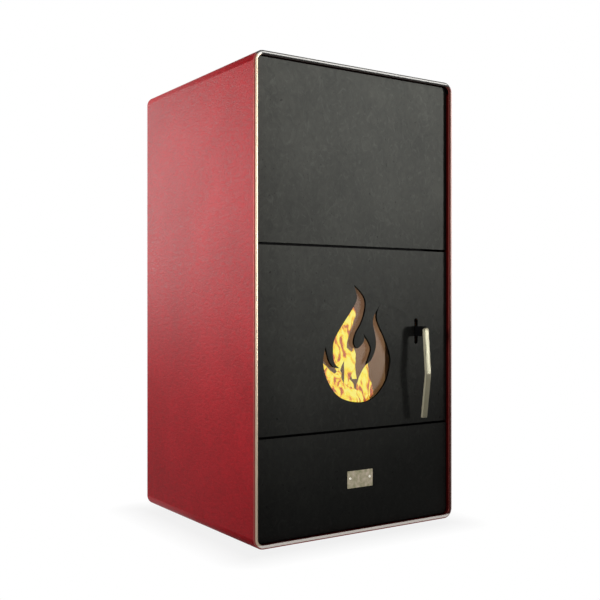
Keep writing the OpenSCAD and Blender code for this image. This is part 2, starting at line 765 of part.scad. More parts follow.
// Flame outline in a frame one wide and one high: four tongues, each curve ends in a tip or a notch
flame_outline = concat(
    curve([[0.45, 1], [0.565, 0.93], [0.62, 0.86], [0.605, 0.76], [0.55, 0.67], [0.475, 0.59],
        [0.445, 0.51], [0.49, 0.462], [0.55, 0.485], [0.595, 0.52], [0.605, 0.55], [0.59, 0.585]]),
    curve([[0.59, 0.585], [0.635, 0.545], [0.68, 0.495], [0.7, 0.44], [0.63, 0.32]]),
    curve([[0.63, 0.32], [0.705, 0.36], [0.76, 0.43], [0.78, 0.5], [0.765, 0.585], [0.735, 0.665],
        [0.75, 0.735], [0.83, 0.825]]),
    curve([[0.83, 0.825], [0.795, 0.765], [0.795, 0.705], [0.835, 0.64], [0.91, 0.545], [0.985, 0.42],
        [1, 0.32], [0.93, 0.165], [0.76, 0.04], [0.55, 0], [0.25, 0.052], [0.075, 0.185], [0, 0.345],
        [0.035, 0.485]]),
    curve([[0.035, 0.485], [0.06, 0.41], [0.095, 0.35], [0.155, 0.31], [0.235, 0.3]]),
    curve([[0.235, 0.3], [0.18, 0.33], [0.15, 0.37], [0.14, 0.44], [0.16, 0.54], [0.28, 0.667],
        [0.405, 0.78], [0.485, 0.87], [0.48, 0.94], [0.45, 1]])
);

module flame() translate([-flame_w / 2, flame_z]) scale_points(flame_outline);
module scale_points(points) polygon([for (p = points) [p[0] * flame_w, p[1] * flame_h]]);

module door_slot(y, margin)
    slab(about(handle_x, slot_w + 2 * margin), grown(y, over), grown(about(latch_z, slot_h), margin));

module fire_door_panel() color(slate) difference() {
    slab([hinge_x - hinge_in, panel_half_w], panel_y, door_z);
    along_y(grown(panel_y, over)) flame();
    door_slot(panel_y, 0);
}

pan_x = about(0, 2 * pan_half_w);
pan_z = about(window_z, 2 * pan_half_h);
gasket_x = about(0, firebox_w + 37);
gasket_z = grown(mouth_z, 10);
gasket_y = [pan_y[1], frame_y[0] - seat_gap];

// Welded frame behind the door panel: window plate, rim wall, gasket seat, hinge straps, latch ears
module door_frame() color(brown) {
    difference() {
        slab(pan_x, pan_y, pan_z);
        slab(window_x, grown(pan_y, over), window_span_z);
        slab(grown(pan_x, -pan_t), [pan_y[0] + pan_t, pan_y[1] - 3], grown(pan_z, -pan_t));
        slab(grown(gasket_x, -gasket_w), [pan_y[1] - 3 - over, pan_y[1] + over], grown(gasket_z, -gasket_w));
    }
    difference() {
        union() for (z = hinge_heights) {
            rod_z(hinge_x, hinge_y, about(z, hinge_barrel_h), hinge_barrel_r);
            slab([hinge_x, pan_x[0] + pan_t], [panel_y[1], panel_y[1] + pan_t], about(z, hinge_barrel_h));
        }
        for (z = hinge_heights)
            rod_z(hinge_x, hinge_y, about(z, hinge_barrel_h + 2 * over), hinge_pin_r + run_gap);
    }
    latch_ears();
}

latch_ear_x = lever_t / 2 + latch_ear_gap + latch_ear_t;
module latch_ears() {
    difference() {
        slab([pan_x[1] - pan_t, handle_x + latch_ear_x], [panel_y[1], panel_y[1] + 3],
            about(latch_z, slot_h + 16));
        door_slot(pan_y, 1);
    }
    for (side = [-1, 1])
        slab(about(handle_x + side * (latch_ear_x - latch_ear_t / 2), latch_ear_t),
            [panel_y[1], latch_y + 8], about(latch_z, 20));
    rod_x(about(handle_x, 2 * latch_ear_x), latch_y, latch_z, latch_pin_r);
}

module door_glass() color("khaki", 0.35) slab(glass_x, glass_y, glass_z);

clip_h = 16;
clip_spots = [for (x = [-1, 1], z = [-1, 1]) [x, window_z + z * flame_h / 3]];
module glass_clips() color(steel) for (c = clip_spots) mirror([c[0] < 0 ? 1 : 0, 0, 0]) {
    tongue_y = [glass_y[1] + seat_gap, glass_y[1] + seat_gap + 1.5];
    slab([glass_x[1] - 6, glass_x[1] + 14], tongue_y, about(c[1], clip_h));
    slab([glass_x[1] + 1, glass_x[1] + 14], [pan_y[0] + pan_t, tongue_y[0] + 1], about(c[1], clip_h));
    rod_y(glass_x[1] + 7.5, [tongue_y[0] + 1, tongue_y[1] + 2.5], c[1], 4);
}

module door_gasket() color(dark_steel) difference() {
    slab(gasket_x, gasket_y, gasket_z);
    slab(grown(gasket_x, -gasket_w), grown(gasket_y, over), grown(gasket_z, -gasket_w));
}

bracket_w = 32;
bracket_lap = 4;
module hinge_brackets() color(black) for (z = hinge_heights) {
    eye_top = z - hinge_barrel_h / 2 - seat_gap;
    eye_z = [eye_top - eye_h, eye_top];
    rod_z(hinge_x, hinge_y, eye_z, hinge_barrel_r);
    slab([hinge_x, hinge_x + 6], [hinge_y, frame_y[0]], eye_z);
    slab([hinge_x - bracket_lap, hinge_x - bracket_lap + bracket_w], [frame_y[0] - 3, frame_y[0]],
        grown(eye_z, 8));
    rod_z(hinge_x, hinge_y, [eye_z[0], z + hinge_barrel_h / 2 + 2], hinge_pin_r);
}

// Latch and handle, drawn from the side as Y and Z

handle_line = [
    [back(handle_lean_top - handle_out), handle_top_z],
    [back(-handle_out), handle_top_z - handle_upper],
    [back(handle_lean_low - handle_out), handle_top_z - handle_upper - handle_lower]
];
function side_of(a, b) = [b[1] - a[1], a[0] - b[0]] / norm(b - a);
handle_sides = [side_of(handle_line[0], handle_line[1]), side_of(handle_line[1], handle_line[2])];
knee_side = (handle_sides[0] + handle_sides[1]) / (1 + handle_sides[0] * handle_sides[1]);
handle_normals = [handle_sides[0], knee_side, handle_sides[1]];

module handle_profile(grow = 0) polygon(concat(
    [for (i = [0 : 2]) handle_line[i] + handle_normals[i] * (handle_t / 2 + grow)],
    [for (i = [2 : -1 : 0]) handle_line[i] - handle_normals[i] * (handle_t / 2 + grow)]
));

module handle_bar() color(ivory) intersection() {
    along_x(about(handle_x, handle_w)) handle_profile();
    along_y([back(-2 * handle_out), back(panel_set)]) union() {
        translate([handle_x, handle_top_z - handle_w / 2]) circle(handle_w / 2);
        translate([handle_x - handle_w / 2, handle_line[2][1] - handle_t])
            square([handle_w, handle_top_z - handle_w / 2 - handle_line[2][1] + handle_t]);
    }
}

// Stem through the panel, eye on the pivot, and a hook that rises behind the keeper
module lever_profile() difference() {
    union() {
        translate([handle_line[0][0], latch_z - stem_h / 2]) square([latch_y - handle_line[0][0], stem_h]);
        translate([latch_y, latch_z]) circle(lever_eye_r);
        translate([latch_y, latch_z - 11]) square([keeper_y - latch_y + keeper_r + 6, 8]);
        translate([keeper_y + keeper_r + 1, latch_z - 11]) square([5, 11 + tooth_top]);
    }
    handle_profile(seat_gap / 2);
    translate([back(-2 * handle_out), latch_z - stem_h])
        square([handle_out + handle_lean_top - 1, 2 * stem_h]);
    translate([latch_y, latch_z]) circle(latch_pin_r + run_gap);
    translate([keeper_y, keeper_z]) circle(keeper_r + 1);
}

module latch_lever() color(black) along_x(about(handle_x, lever_t)) lever_profile();

module latch_keeper() color(steel) {
    ear_y = [keeper_y - keeper_r - 1, frame_y[0]];
    for (side = [-1, 1])
        slab(about(handle_x + side * (lever_t / 2 + 5), 4), ear_y, about(keeper_z, 18));
    rod_x(about(handle_x, lever_t + 12), keeper_y, keeper_z, keeper_r);
    difference() {
        slab(about(handle_x, lever_t + 18), [frame_y[0] - 2.5, frame_y[0]], [latch_z - 34, latch_z + 22]);
        latch_slot(grown(frame_y, 2));
    }
}

// Boiler

module tube_holes() for (p = tube_spots)
    rod_z(p[0], p[1], grown(tube_z, over), tube_r + seat_gap);

// What passes through the boiler's rear walls
module rear_holes(gap) {
    rod_y(-intake_x, [air_box_y[1] - burner_t - over, jacket_y[1] + over], intake_z, intake_r + gap);
    rod_y(0, [air_box_y[1] - burner_t - over, jacket_y[1] + over], igniter_z, igniter_r + 3 + gap);
    chute_slope_rod(chute_r + gap);
}

module firebox_shell() color(dark_steel) difference() {
    slab(shell_x, shell_y, firebox_z);
    slab(firebox_x, [firebox_y[0] - over, firebox_y[1]], grown(firebox_z, -plate_t));
    slab(grown(firebox_x, -lining_t - 8), ash_gap_y, grown([firebox_z[0], hearth_z], over));
    tube_holes();
    rear_holes(seat_gap);
}

module boiler_jacket() color("slategray") difference() {
    slab(jacket_x, jacket_y, jacket_z);
    slab(grown(jacket_x, -plate_t), [jacket_y[0] - over, jacket_y[1] - plate_t], grown(jacket_z, -plate_t));
    slab(grown(shell_x, seat_gap), [shell_y[0] - over, shell_y[1] + seat_gap],
        [jacket_z[0] - over, jacket_z[0] + plate_t + over]);
    tube_holes();
    rear_holes(seat_gap);
    for (p = [supply_start, return_start])
        rod_x([jacket_x[0] - over, jacket_x[0] + plate_t + over], p[0], p[1], pipe_r - pipe_wall);
}

module fire_tubes() color(dark_steel) for (p = tube_spots) difference() {
    rod_z(p[0], p[1], tube_z, tube_r);
    rod_z(p[0], p[1], grown(tube_z, over), tube_r - tube_wall);
}

duct_port_z = [smoke_z[0] + 12, smoke_z[1] - 8];
module smoke_box() color(dark_steel) difference() {
    slab(smoke_x, smoke_y, smoke_z);
    slab(grown(smoke_x, -duct_t), grown(smoke_y, -duct_t), [smoke_z[0] - over, smoke_z[1] - duct_t]);
    slab(grown(duct_x, -8), [smoke_y[1] - duct_t - over, smoke_y[1] + over], duct_port_z);
    rod_z(0, tube_mid_y, grown([smoke_z[1] - duct_t, smoke_z[1]], over), clean_rod_r + run_gap);
}

// Boards at the rear and both sides of the fire
module firebox_lining() color(brown) difference() {
    union() {
        slab(firebox_x, [lining_front, firebox_y[1]], lining_z);
        for (side = [0, 1]) mirror([side, 0, 0])
            slab([firebox_x[1] - lining_t, firebox_x[1]], firebox_y, lining_z);
    }
    rear_holes(seat_gap);
}

module baffle_plate() color(brown) slab(grown(firebox_x, -seat_gap),
    [firebox_y[0] + 45, firebox_y[1] - seat_gap], [lining_z[1], lining_z[1] + baffle_t]);

module burner_box() color(dark_steel) difference() {
    slab(air_box_x, air_box_y, air_box_z);
    slab(grown(air_box_x, -burner_t), grown(air_box_y, -burner_t), grown(air_box_z, -burner_t));
    slab(grown(pot_x, seat_gap), grown(pot_y, seat_gap),
        [air_box_z[1] - burner_t - over, air_box_z[1] + over]);
    rod_y(-intake_x, about(air_box_y[1], 4 * burner_t), intake_z, intake_r - 4);
    rod_y(0, about(air_box_y[1], 4 * burner_t), igniter_z, igniter_r + seat_gap);
}

// Cast pot with a flange on the air box and air holes all round
module burn_pot() color(black) difference() {
    union() {
        slab(pot_x, pot_y, pot_z);
        slab(grown(pot_x, 8), grown(pot_y, 8), [air_box_z[1], air_box_z[1] + burner_t]);
    }
    slab(grown(pot_x, -burner_t), grown(pot_y, -burner_t), [pot_z[0] + burner_t, pot_z[1] + over]);
    for (i = [-3 : 3], z = [8, 20]) rod_y(i * 13, grown(pot_y, over), pot_z[0] + z, 2);
    for (i = [-2 : 2], z = [8, 20])
        rod_x(grown(pot_x, over), (pot_y[0] + pot_y[1]) / 2 + i * 13, pot_z[0] + z, 2);
    for (i = [-3 : 3], j = [-2 : 2])
        rod_z(i * 13, (pot_y[0] + pot_y[1]) / 2 + j * 13, [pot_z[0] - over, pot_z[0] + burner_t + over], 2.5);
}

module igniter() color("ghostwhite") {
    rod_y(0, [pot_y[1] + 1, air_box_y[1]], igniter_z, igniter_r);
    rod_y(0, [air_box_y[1], jacket_y[1] + 10], igniter_z, igniter_r + 3);
    rod_y(0, [jacket_y[1], jacket_y[1] + 4], igniter_z, igniter_r + 6);
}

// Cleaning rod with the bars and the bent strips that hang in the fire tubes
strip_w = 22;
strip_t = 1.5;
strip_step = 24;
frame_z = [smoke_z[0] + 8, smoke_z[0] + 12];
strip_z = [tube_z[0] + 14, frame_z[0] - seat_gap];
strip_folds = floor((strip_z[1] - strip_z[0]) / strip_step);
strip_side = [for (i = [0 : strip_folds]) [(i % 2) * 16 - 8, strip_z[1] - i * strip_step]];

module turbulators() color(steel) {
    cols = [for (p = tube_spots) p[0]];
    rows = [for (p = tube_spots) p[1]];
    for (p = tube_spots) translate([0, p[1], 0]) along_x(about(p[0], strip_w)) polygon(concat(
        [for (q = strip_side) [q[0] - strip_t / 2, q[1]]],
        [for (i = [strip_folds : -1 : 0]) [strip_side[i][0] + strip_t / 2, strip_side[i][1]]]
    ));
    for (y = [min(rows), tube_mid_y, max(rows)])
        slab(grown([min(cols), max(cols)], strip_w / 2), about(y - 8, 10), frame_z);
    for (x = [-1, 0, 1])
        slab(about(x * (tube_pitch * 1.5), 10), grown([min(rows), max(rows)], 8), frame_z);
    slab(about(0, 30), about(tube_mid_y, 30), frame_z);
    rod_z(0, tube_mid_y, [frame_z[0], top_z + knob_h - 8], clean_rod_r);
}

module cleaning_knob() color(black) translate([0, tube_mid_y, top_z + seat_gap]) difference() {
    rotate_extrude() polygon([
        [0, 0], [knob_r * 0.55, 0], [knob_r * 0.45, knob_h * 0.4], [knob_r - 2, knob_h * 0.5],
        [knob_r, knob_h * 0.62], [knob_r, knob_h * 0.85], [knob_r - 3, knob_h], [0, knob_h]
    ]);
    translate([0, 0, -over]) cylinder(r = clean_rod_r + run_gap, h = knob_h - 7 + over + run_gap);
}

// Pellet feed

function funnel(side, mouth, neck, t) = [
    [side[0] + t, mouth[2] + over], [side[1] - t, mouth[2] + over], [side[1] - t, mouth[1]],
    [neck[1] - t, mouth[0]], [neck[1] - t, mouth[0] - over], [neck[0] + t, mouth[0] - over],
    [neck[0] + t, mouth[0]], [side[0] + t, mouth[1]]
];

module hopper_space(t) intersection() {
    along_x(grown(hopper_x, -t)) polygon(funnel(hopper_y, hopper_z, neck_y, t));
    along_y(grown(hopper_y, -t)) polygon(funnel(hopper_x, hopper_z, neck_x, t));
}

module hopper() color(steel) intersection() {
    difference() {
        hopper_space(0);
        hopper_space(hopper_t);
    }
    slab(hopper_x, hopper_y, [hopper_z[0], hopper_z[2]]);
}

grille_z = [hopper_z[2] - 40, hopper_z[2] - 36];
module hopper_grille() color(steel) {
    edge_x = grown(hopper_x, -hopper_t - seat_gap);
    edge_y = grown(hopper_y, -hopper_t - seat_gap);
    duct_z(edge_x, edge_y, grille_z, 8);
    pitch = (edge_x[1] - edge_x[0]) / (grille_bars + 1);
    for (i = [1 : grille_bars])
        slab(about(edge_x[0] + i * pitch, 4), grown(edge_y, -4), grille_z);
}

module auger_tube() color(steel) difference() {
    union() {
        rod_y(0, auger_y, auger_z, auger_tube_r);
        slab(neck_x, neck_y, [auger_z, hopper_z[0]]);
    }
    rod_y(0, [auger_y[0] + 3, auger_y[1] + over], auger_z, auger_r);
    slab(grown(neck_x, -hopper_t), grown(neck_y, -hopper_t), [auger_z, hopper_z[0] + over]);
    rod_z(0, chute_y, [auger_z - auger_tube_r - over, auger_z], chute_r - duct_t);
    rod_y(0, [auger_y[0] - over, auger_y[0] + 4], auger_z, shaft_r / 2 + run_gap);
}

flight_y = [auger_y[0] + 5, auger_y[1] - 4];
module auger_screw() color(steel) {
    turns = (flight_y[1] - flight_y[0]) / auger_pitch;
    translate([0, flight_y[0], auger_z]) rotate([-90, 0, 0])
        linear_extrude(flight_y[1] - flight_y[0], twist = -360 * turns, slices = ceil(12 * turns), $fn = 6) {
            circle(shaft_r, $fn = 8);
            translate([0, -2]) square([auger_r - 2, 4]);
        }
    rod_y(0, [flight_y[1], gearbox_y[0] + auger_shaft_in], auger_z, shaft_r);
    rod_y(0, [auger_y[0], flight_y[0]], auger_z, shaft_r / 2);
}

module auger_motor() color(dark_steel) difference() {
    union() {
        slab(about(0, gearbox_w), gearbox_y, about(auger_z, gearbox_w));
        rod_y(0, [gearbox_y[1], rear_panel_y[0] - 6], auger_z, auger_motor_r);
    }
    rod_y(0, [gearbox_y[0] - over, gearbox_y[0] + auger_shaft_in + 1], auger_z, shaft_r + run_gap);
}

// The sloping length of the chute, from its turn down through the boiler's rear walls
module chute_slope_rod(r) translate([0, chute_y, chute_turn_z]) rotate([90 + chute_slope, 0, 0])
    cylinder(r = r, h = chute_l);

module chute_body(r, top) {
    chute_slope_rod(r);
    translate([0, chute_y, chute_turn_z]) sphere(r);
    rod_z(0, chute_y, [chute_turn_z, top], r);
}

module feed_chute() color(steel) difference() {
    chute_body(chute_r, auger_z);
    chute_body(chute_r - duct_t, auger_z + over);
    slab(about(0, 4 * chute_r), [firebox_y[0], lining_front], [hearth_z, chute_turn_z]);
    rod_y(0, grown(auger_y, over), auger_z, auger_tube_r + seat_gap);
}

module hopper_lid() color(red) {
    wall = 1.5;
    difference() {
        slab(lid_x, lid_y, lid_z);
        slab(grown(lid_x, -wall), grown(lid_y, -wall), [lid_z[0] - over, lid_z[1] - wall]);
    }
    for (x = [-1, 1]) {
        span = about(x * lid_hinge_x, lid_barrel_l);
        rod_x(span, lid_axis[0], lid_axis[1], lid_barrel_r);
        slab(span, [lid_y[1] - wall, lid_axis[0]], about(lid_axis[1], 3));
        rod_x(grown(span, lid_eye_l + 1), lid_axis[0], lid_axis[1], lid_pin_r);
    }
    slab(about(0, 120), [lid_y[0] - 12, lid_y[0] + wall], [lid_z[1] - 3, lid_z[1] - 0.5]);
}

// Smoke fan

module smoke_duct() color(dark_steel) difference() {
    slab(duct_x, duct_y, [duct_low_z, smoke_z[1]]);
    slab(grown(duct_x, -duct_t), grown(duct_y, -duct_t), [duct_low_z + duct_t, smoke_z[1] - duct_t]);
    slab(grown(duct_x, -8), [duct_y[0] - over, duct_y[0] + duct_t + over], duct_port_z);
    rod_y(fan_x, [duct_y[1] - duct_t - over, duct_y[1] + over], up(fan_z), fan_inlet_r);
}

module fan_space(t) {
    rod_y(fan_x, grown(fan_y, -t), up(fan_z), fan_r - t);
    slab([flue_box_x[0] + t, flue_box_x[1]], grown(fan_y, -t),
        [flue_box_z[0] + t, up(fan_z) + fan_r - t]);
}

module fan_housing() color("gray") difference() {
    fan_space(0);
    fan_space(duct_t);
    rod_y(fan_x, [fan_y[0] - over, fan_y[0] + duct_t + over], up(fan_z), fan_inlet_r);
    rod_y(fan_x, [fan_y[1] - duct_t - over, fan_y[1] + over], up(fan_z), fan_shaft_r + 1);
    rod_y(flue_x, [fan_y[1] - duct_t - over, fan_y[1] + over], up(flue_z), flue_r - duct_t);
}

module fan_motor() color(black) difference() {
    union() {
        rod_y(fan_x, [fan_y[1], fan_y[1] + motor_flange_t], up(fan_z), fan_motor_r + 8);
        rod_y(fan_x, [fan_y[1], fan_y[1] + motor_flange_t + fan_motor_l], up(fan_z), fan_motor_r);
    }
    rod_y(fan_x, [fan_y[1] - over, fan_y[1] + fan_shaft_in + 2], up(fan_z), fan_shaft_r + run_gap);
}

module fan_impeller() color(steel) {
    blade_r = fan_r - duct_t - 6;
    rod_y(fan_x, disc_y, up(fan_z), blade_r);
    rod_y(fan_x, [fan_y[0] + 14, fan_y[1] + fan_shaft_in], up(fan_z), fan_shaft_r);
    rod_y(fan_x, [disc_y[0] - 14, disc_y[1]], up(fan_z), fan_shaft_r * 2.5);
    for (i = [0 : fan_blades - 1]) translate([fan_x, 0, up(fan_z)]) rotate([0, 360 * i / fan_blades, 0])
        slab([blade_r * 0.5, blade_r - 1], [disc_y[0] - 30, disc_y[1]], about(0, 2));
}

module flue_spigot() color(dark_steel) {
    pipe_y(flue_x, [fan_y[1], rear_y + flue_out], up(flue_z), flue_r, duct_t);
    difference() {
        rod_y(flue_x, about(rear_y + 4, 4), up(flue_z), flue_r + 4);
        rod_y(flue_x, about(rear_y + 4, 4 + 2 * over), up(flue_z), flue_r - duct_t / 2);
    }
}

module air_intake() color(steel) {
    pipe_y(-intake_x, [air_box_y[1], rear_y + pipe_out], intake_z, intake_r, duct_t);
    difference() {
        rod_y(-intake_x, about(rear_y + 1, 2), intake_z, intake_r + 3);
        rod_y(-intake_x, about(rear_y + 1, 4), intake_z, intake_r - duct_t / 2);
    }
}

// Water side

// How far the supply and the return start in front of the boiler's rear face, and from its top or underside
supply_in = 63;
return_in = 123;
pipe_start_in = 45;
supply_start = [jacket_y[1] - supply_in, jacket_z[1] - pipe_start_in];
return_start = [jacket_y[1] - return_in, jacket_z[0] + pipe_start_in];

// A quarter of a torus: start is its first angle, counted in the plane it lies in
module bend(start, r) rotate([0, 0, start]) rotate_extrude(angle = 90) translate([bend_r, 0]) circle(r);

// From the jacket's side out to the left, down, and back through the rear panel
module pipe_route(start, out_z, end_y, r, past = 0) {
    rod_x([bend_r - pipe_x, jacket_x[0] + past], start[0], start[1], r);
    translate([bend_r - pipe_x, start[0], start[1] - bend_r]) rotate([90, 0, 0]) bend(90, r);
    rod_z(-pipe_x, start[0], [out_z + bend_r, start[1] - bend_r], r);
    translate([-pipe_x, start[0] + bend_r, out_z + bend_r]) rotate([90, 0, 90]) bend(180, r);
    rod_y(-pipe_x, [start[0] + bend_r, end_y + past], out_z, r);
}

module pipe_ring(z) difference() {
    rod_y(-pipe_x, about(rear_y + 1, 4), up(z), pipe_r + 2);
    rod_y(-pipe_x, about(rear_y + 1, 6), up(z), pipe_r - pipe_wall / 2);
}

module supply_pipe() color("darkorange") {
    difference() {
        pipe_route(supply_start, up(supply_z), rear_y + pipe_out, pipe_r);
        pipe_route(supply_start, up(supply_z), rear_y + pipe_out, pipe_r - pipe_wall, over);
    }
    pipe_ring(supply_z);
}

pump_y = about(rear_y - 120, pump_l);
module return_pipe() color("darkorange") {
    difference() {
        pipe_route(return_start, up(return_z), rear_y + pipe_out, pipe_r);
        pipe_route(return_start, up(return_z), rear_y + pipe_out, pipe_r - pipe_wall, over);
        slab(about(-pipe_x, 4 * pipe_r), pump_y, about(up(return_z), 4 * pipe_r));
    }
    pipe_ring(return_z);
}

volute_x = about(-pipe_x, volute_w);
module circulation_pump() color("darkred") {
    difference() {
        union() {
            rod_y(-pipe_x, pump_y, up(return_z), pipe_r + 5);
            for (y = pump_y) translate([-pipe_x, y, up(return_z)]) rotate([90, 0, 0])
                translate([0, 0, y == pump_y[0] ? -12 : 0]) cylinder(r = pipe_r + 10, h = 12, $fn = 8);
            rod_x(volute_x, pump_y[0] + pump_l / 2, up(return_z), volute_r);
        }
        rod_y(-pipe_x, grown(pump_y, over), up(return_z), pipe_r - pipe_wall);
    }
    rod_x([volute_x[1], volute_x[1] + pump_motor_l], pump_y[0] + pump_l / 2, up(return_z), pump_motor_r);
}

vessel_x = [jacket_x[1] + vessel_stand, casing_w / 2 - sheet_t - vessel_gap];
vessel_mid_y = jacket_y[0] + vessel_r + 12;
module expansion_vessel() color("crimson") {
    difference() {
        vessel_body(0);
        vessel_body(duct_t);
    }
    rod_x([jacket_x[1], vessel_x[0] + 1], vessel_mid_y, up(vessel_z), 12);
}

// Two flat domes, drawn in by the wall t
module vessel_body(t) translate([vessel_x[0], vessel_mid_y, up(vessel_z)]) rotate([0, 90, 0]) {
    w = vessel_x[1] - vessel_x[0];
    rotate_extrude() polygon([
        [0, t], [vessel_r * 0.7 - t, w * 0.05 + t], [vessel_r * 0.93 - t, w * 0.2 + t], [vessel_r - t, w / 2],
        [vessel_r * 0.93 - t, w * 0.8 - t], [vessel_r * 0.7 - t, w * 0.95 - t], [0, w - t]
    ]);
}

module safety_valve() color("goldenrod") {
    x = jacket_x[0] - 26;
    y = jacket_y[0] + 50;
    z = jacket_z[1] - 40;
    rod_x([x - 14, jacket_x[0]], y, z, valve_r);
    rod_z(x, y, [z - 24, z + 18], valve_r);
    rod_z(x, y, [z + 18, z + 34], valve_r + 4);
}

// Controls

module control_box() color("whitesmoke") {
    wall_x = casing_w / 2 - sheet_t - seat_gap;
    y = about(rear_y - box_back, box_l);
    z = about(up(box_z), box_h);
    slab([wall_x - box_t, wall_x - 1], y, z);
    slab([wall_x - 3, wall_x], grown(y, 10), grown(z, 10));
}

module control_panel() color(black) difference() {
    union() {
        slab(grown(control_px, 5), grown(control_py, 5), [top_z, top_z + control_plate_t]);
        slab(control_px, control_py, [top_z - control_body_h, top_z + control_plate_t]);
    }
    slab(grown(display_px, seat_gap), grown(display_py, seat_gap),
        [top_z + control_plate_t - display_t, top_z + control_plate_t + over]);
    for (p = key_spots) rod_z(p[0], p[1],
        [top_z + control_plate_t - key_pocket, top_z + control_plate_t + over], key_r + key_gap);
}

module display_window() color("midnightblue") slab(display_px, display_py,
    [top_z + control_plate_t - display_t, top_z + control_plate_t]);

module key(i) color("gainsboro") {
    low = top_z + control_plate_t - key_pocket + key_travel + key_gap;
    high = top_z + control_plate_t + key_travel + 0.5;
    translate([key_spots[i][0], key_spots[i][1], low]) rotate_extrude()
        polygon([[0, 0], [key_r, 0], [key_r, high - low - 0.8], [key_r - 0.8, high - low], [0, high - low]]);
}

module key_up() key(2);
module key_down() key(1);
module key_ok() key(0);

// Body behind the rear panel, with a recess round three flat pins and a pocket for the rocker
module power_inlet() color(black) difference() {
    union() {
        slab(inlet_px, [rocker_y, rear_y], inlet_pz);
        slab(grown(inlet_px, -2 - seat_gap), [rear_panel_y[0] - 28, rocker_y],
            grown(inlet_pz, -2 - seat_gap));
    }
    difference() {
        slab(about(inlet_x, 24), [rear_y - 20, rear_y + over], about(socket_z, 16.5));
        for (x = [-7, 7]) slab(about(inlet_x + x, 2), [rear_y - 20, rear_y - 3], about(socket_z + 3, 4));
        slab(about(inlet_x, 2), [rear_y - 20, rear_y - 3], about(socket_z + 5, 4));
    }
    slab(about(inlet_x, rocker_w + 1), [rocker_y - 10, rear_y + over], about(rocker_z, 21));
    rod_x(about(inlet_x, rocker_w + 5), rocker_y - 1, rocker_z, rocker_pin_r + run_gap);
}

module rocker_switch() color("darkgreen") {
    along_x(about(inlet_x, rocker_w)) translate([rocker_y, rocker_z])
        polygon([[-4, -8.5], [1, -8.5], [0.5, 0], [3, 8.5], [-4, 8.5]]);
    rod_x(about(inlet_x, rocker_w + 4), rocker_y - 1, rocker_z, rocker_pin_r);
}

casing();
front_reveal();
rim_trim();
base_plate();
levelling_feet();
front_frame();
upper_panel();
rear_panel();
rear_screws();
hinge_brackets();
latch_keeper();
ash_compartment();
firebox_shell();
boiler_jacket();
fire_tubes();
smoke_box();
firebox_lining();
baffle_plate();
burner_box();
burn_pot();
igniter();
hopper();
hopper_grille();
auger_tube();
auger_motor();
feed_chute();
smoke_duct();
fan_housing();
fan_motor();
flue_spigot();
air_intake();
supply_pipe();
return_pipe();
circulation_pump();
expansion_vessel();
safety_valve();
control_box();
control_panel();
display_window();
power_inlet();
fire_door_panel();
door_frame();
door_glass();
glass_clips();
door_gasket();
latch_lever();
handle_bar();
drawer_panel();
ash_box();
nameplate();
nameplate_rivets();
hopper_lid();
turbulators();
cleaning_knob();
auger_screw();
fan_impeller();
rocker_switch();
key_up();
key_down();
key_ok();
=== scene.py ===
# Pellet boiler stove: its finishes, the detailed front, the fire, and the photograph's view of it.
import json
import math
import random

import bmesh
import bpy
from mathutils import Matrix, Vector


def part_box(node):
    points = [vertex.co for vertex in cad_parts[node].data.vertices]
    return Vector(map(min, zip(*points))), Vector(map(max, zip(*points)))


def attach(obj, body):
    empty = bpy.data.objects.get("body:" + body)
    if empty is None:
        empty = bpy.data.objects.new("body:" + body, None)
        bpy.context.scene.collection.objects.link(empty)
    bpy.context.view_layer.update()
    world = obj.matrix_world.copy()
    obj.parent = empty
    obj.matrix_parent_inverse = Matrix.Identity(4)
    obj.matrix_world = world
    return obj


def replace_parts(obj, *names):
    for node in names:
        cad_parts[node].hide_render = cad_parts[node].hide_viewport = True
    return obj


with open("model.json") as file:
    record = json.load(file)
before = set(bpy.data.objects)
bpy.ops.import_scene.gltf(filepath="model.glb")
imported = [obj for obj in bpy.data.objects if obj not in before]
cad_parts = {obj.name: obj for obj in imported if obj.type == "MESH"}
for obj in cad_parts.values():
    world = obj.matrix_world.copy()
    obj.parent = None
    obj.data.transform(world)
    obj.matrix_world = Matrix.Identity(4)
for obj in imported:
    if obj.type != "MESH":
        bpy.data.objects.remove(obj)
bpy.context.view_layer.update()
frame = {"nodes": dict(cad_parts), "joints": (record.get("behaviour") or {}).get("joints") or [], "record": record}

# The photograph's camera, from a perspective fit of the casing's edges: metres, degrees and millimetres
CAMERA_AT = (-1.2913, -1.98305, 0.5474)
CAMERA_YAW = 33.551
CAMERA_LENS = 54.70
CAMERA_SHIFT_UP = 0.0074

# Light levels: the white that the camera and shiny surfaces see, and the soft light from all round
BACKDROP_LEVEL = 1.0
AMBIENT_LEVEL = 0.08

# Front: the rim, the panels and the flame-shaped window, in metres
CASING_RADIUS = 0.024
RIM_WIDTH = 0.0092
PANEL_INSET = 0.0105
PANEL_EDGE = 0.0009
PANEL_CORNER = 0.0008
FLAME_WIDTH = 0.196
FLAME_HEIGHT = 0.275
FLAME_ABOVE_DOOR_EDGE = 0.060
SLOT_WIDTH = 0.010
SLOT_HEIGHT = 0.062

# Lip behind the drawer's top edge, and how far under that edge its middle lies
LIP_WIDTH = 0.120
LIP_THICKNESS = 0.002
LIP_BELOW_EDGE = 0.008

# Handle: width and thickness of the bar, its knee and its rounded edges
HANDLE_WIDTH = 0.015
HANDLE_THICKNESS = 0.007
HANDLE_EDGE = 0.0013
HANDLE_KNEE_Z = 0.380
HANDLE_KNEE_RADIUS = 0.020
# How far its top and its foot lie behind the knee, and the least half width of its end rings
HANDLE_TOP_BACK = 0.0090
HANDLE_FOOT_BACK = 0.0145
HANDLE_LEAST = 0.0004
# Rings above the knee, in it and below it, and how strongly they crowd towards the bar's ends
HANDLE_RINGS = (24, 8, 16)
HANDLE_CROWDING = 1.8

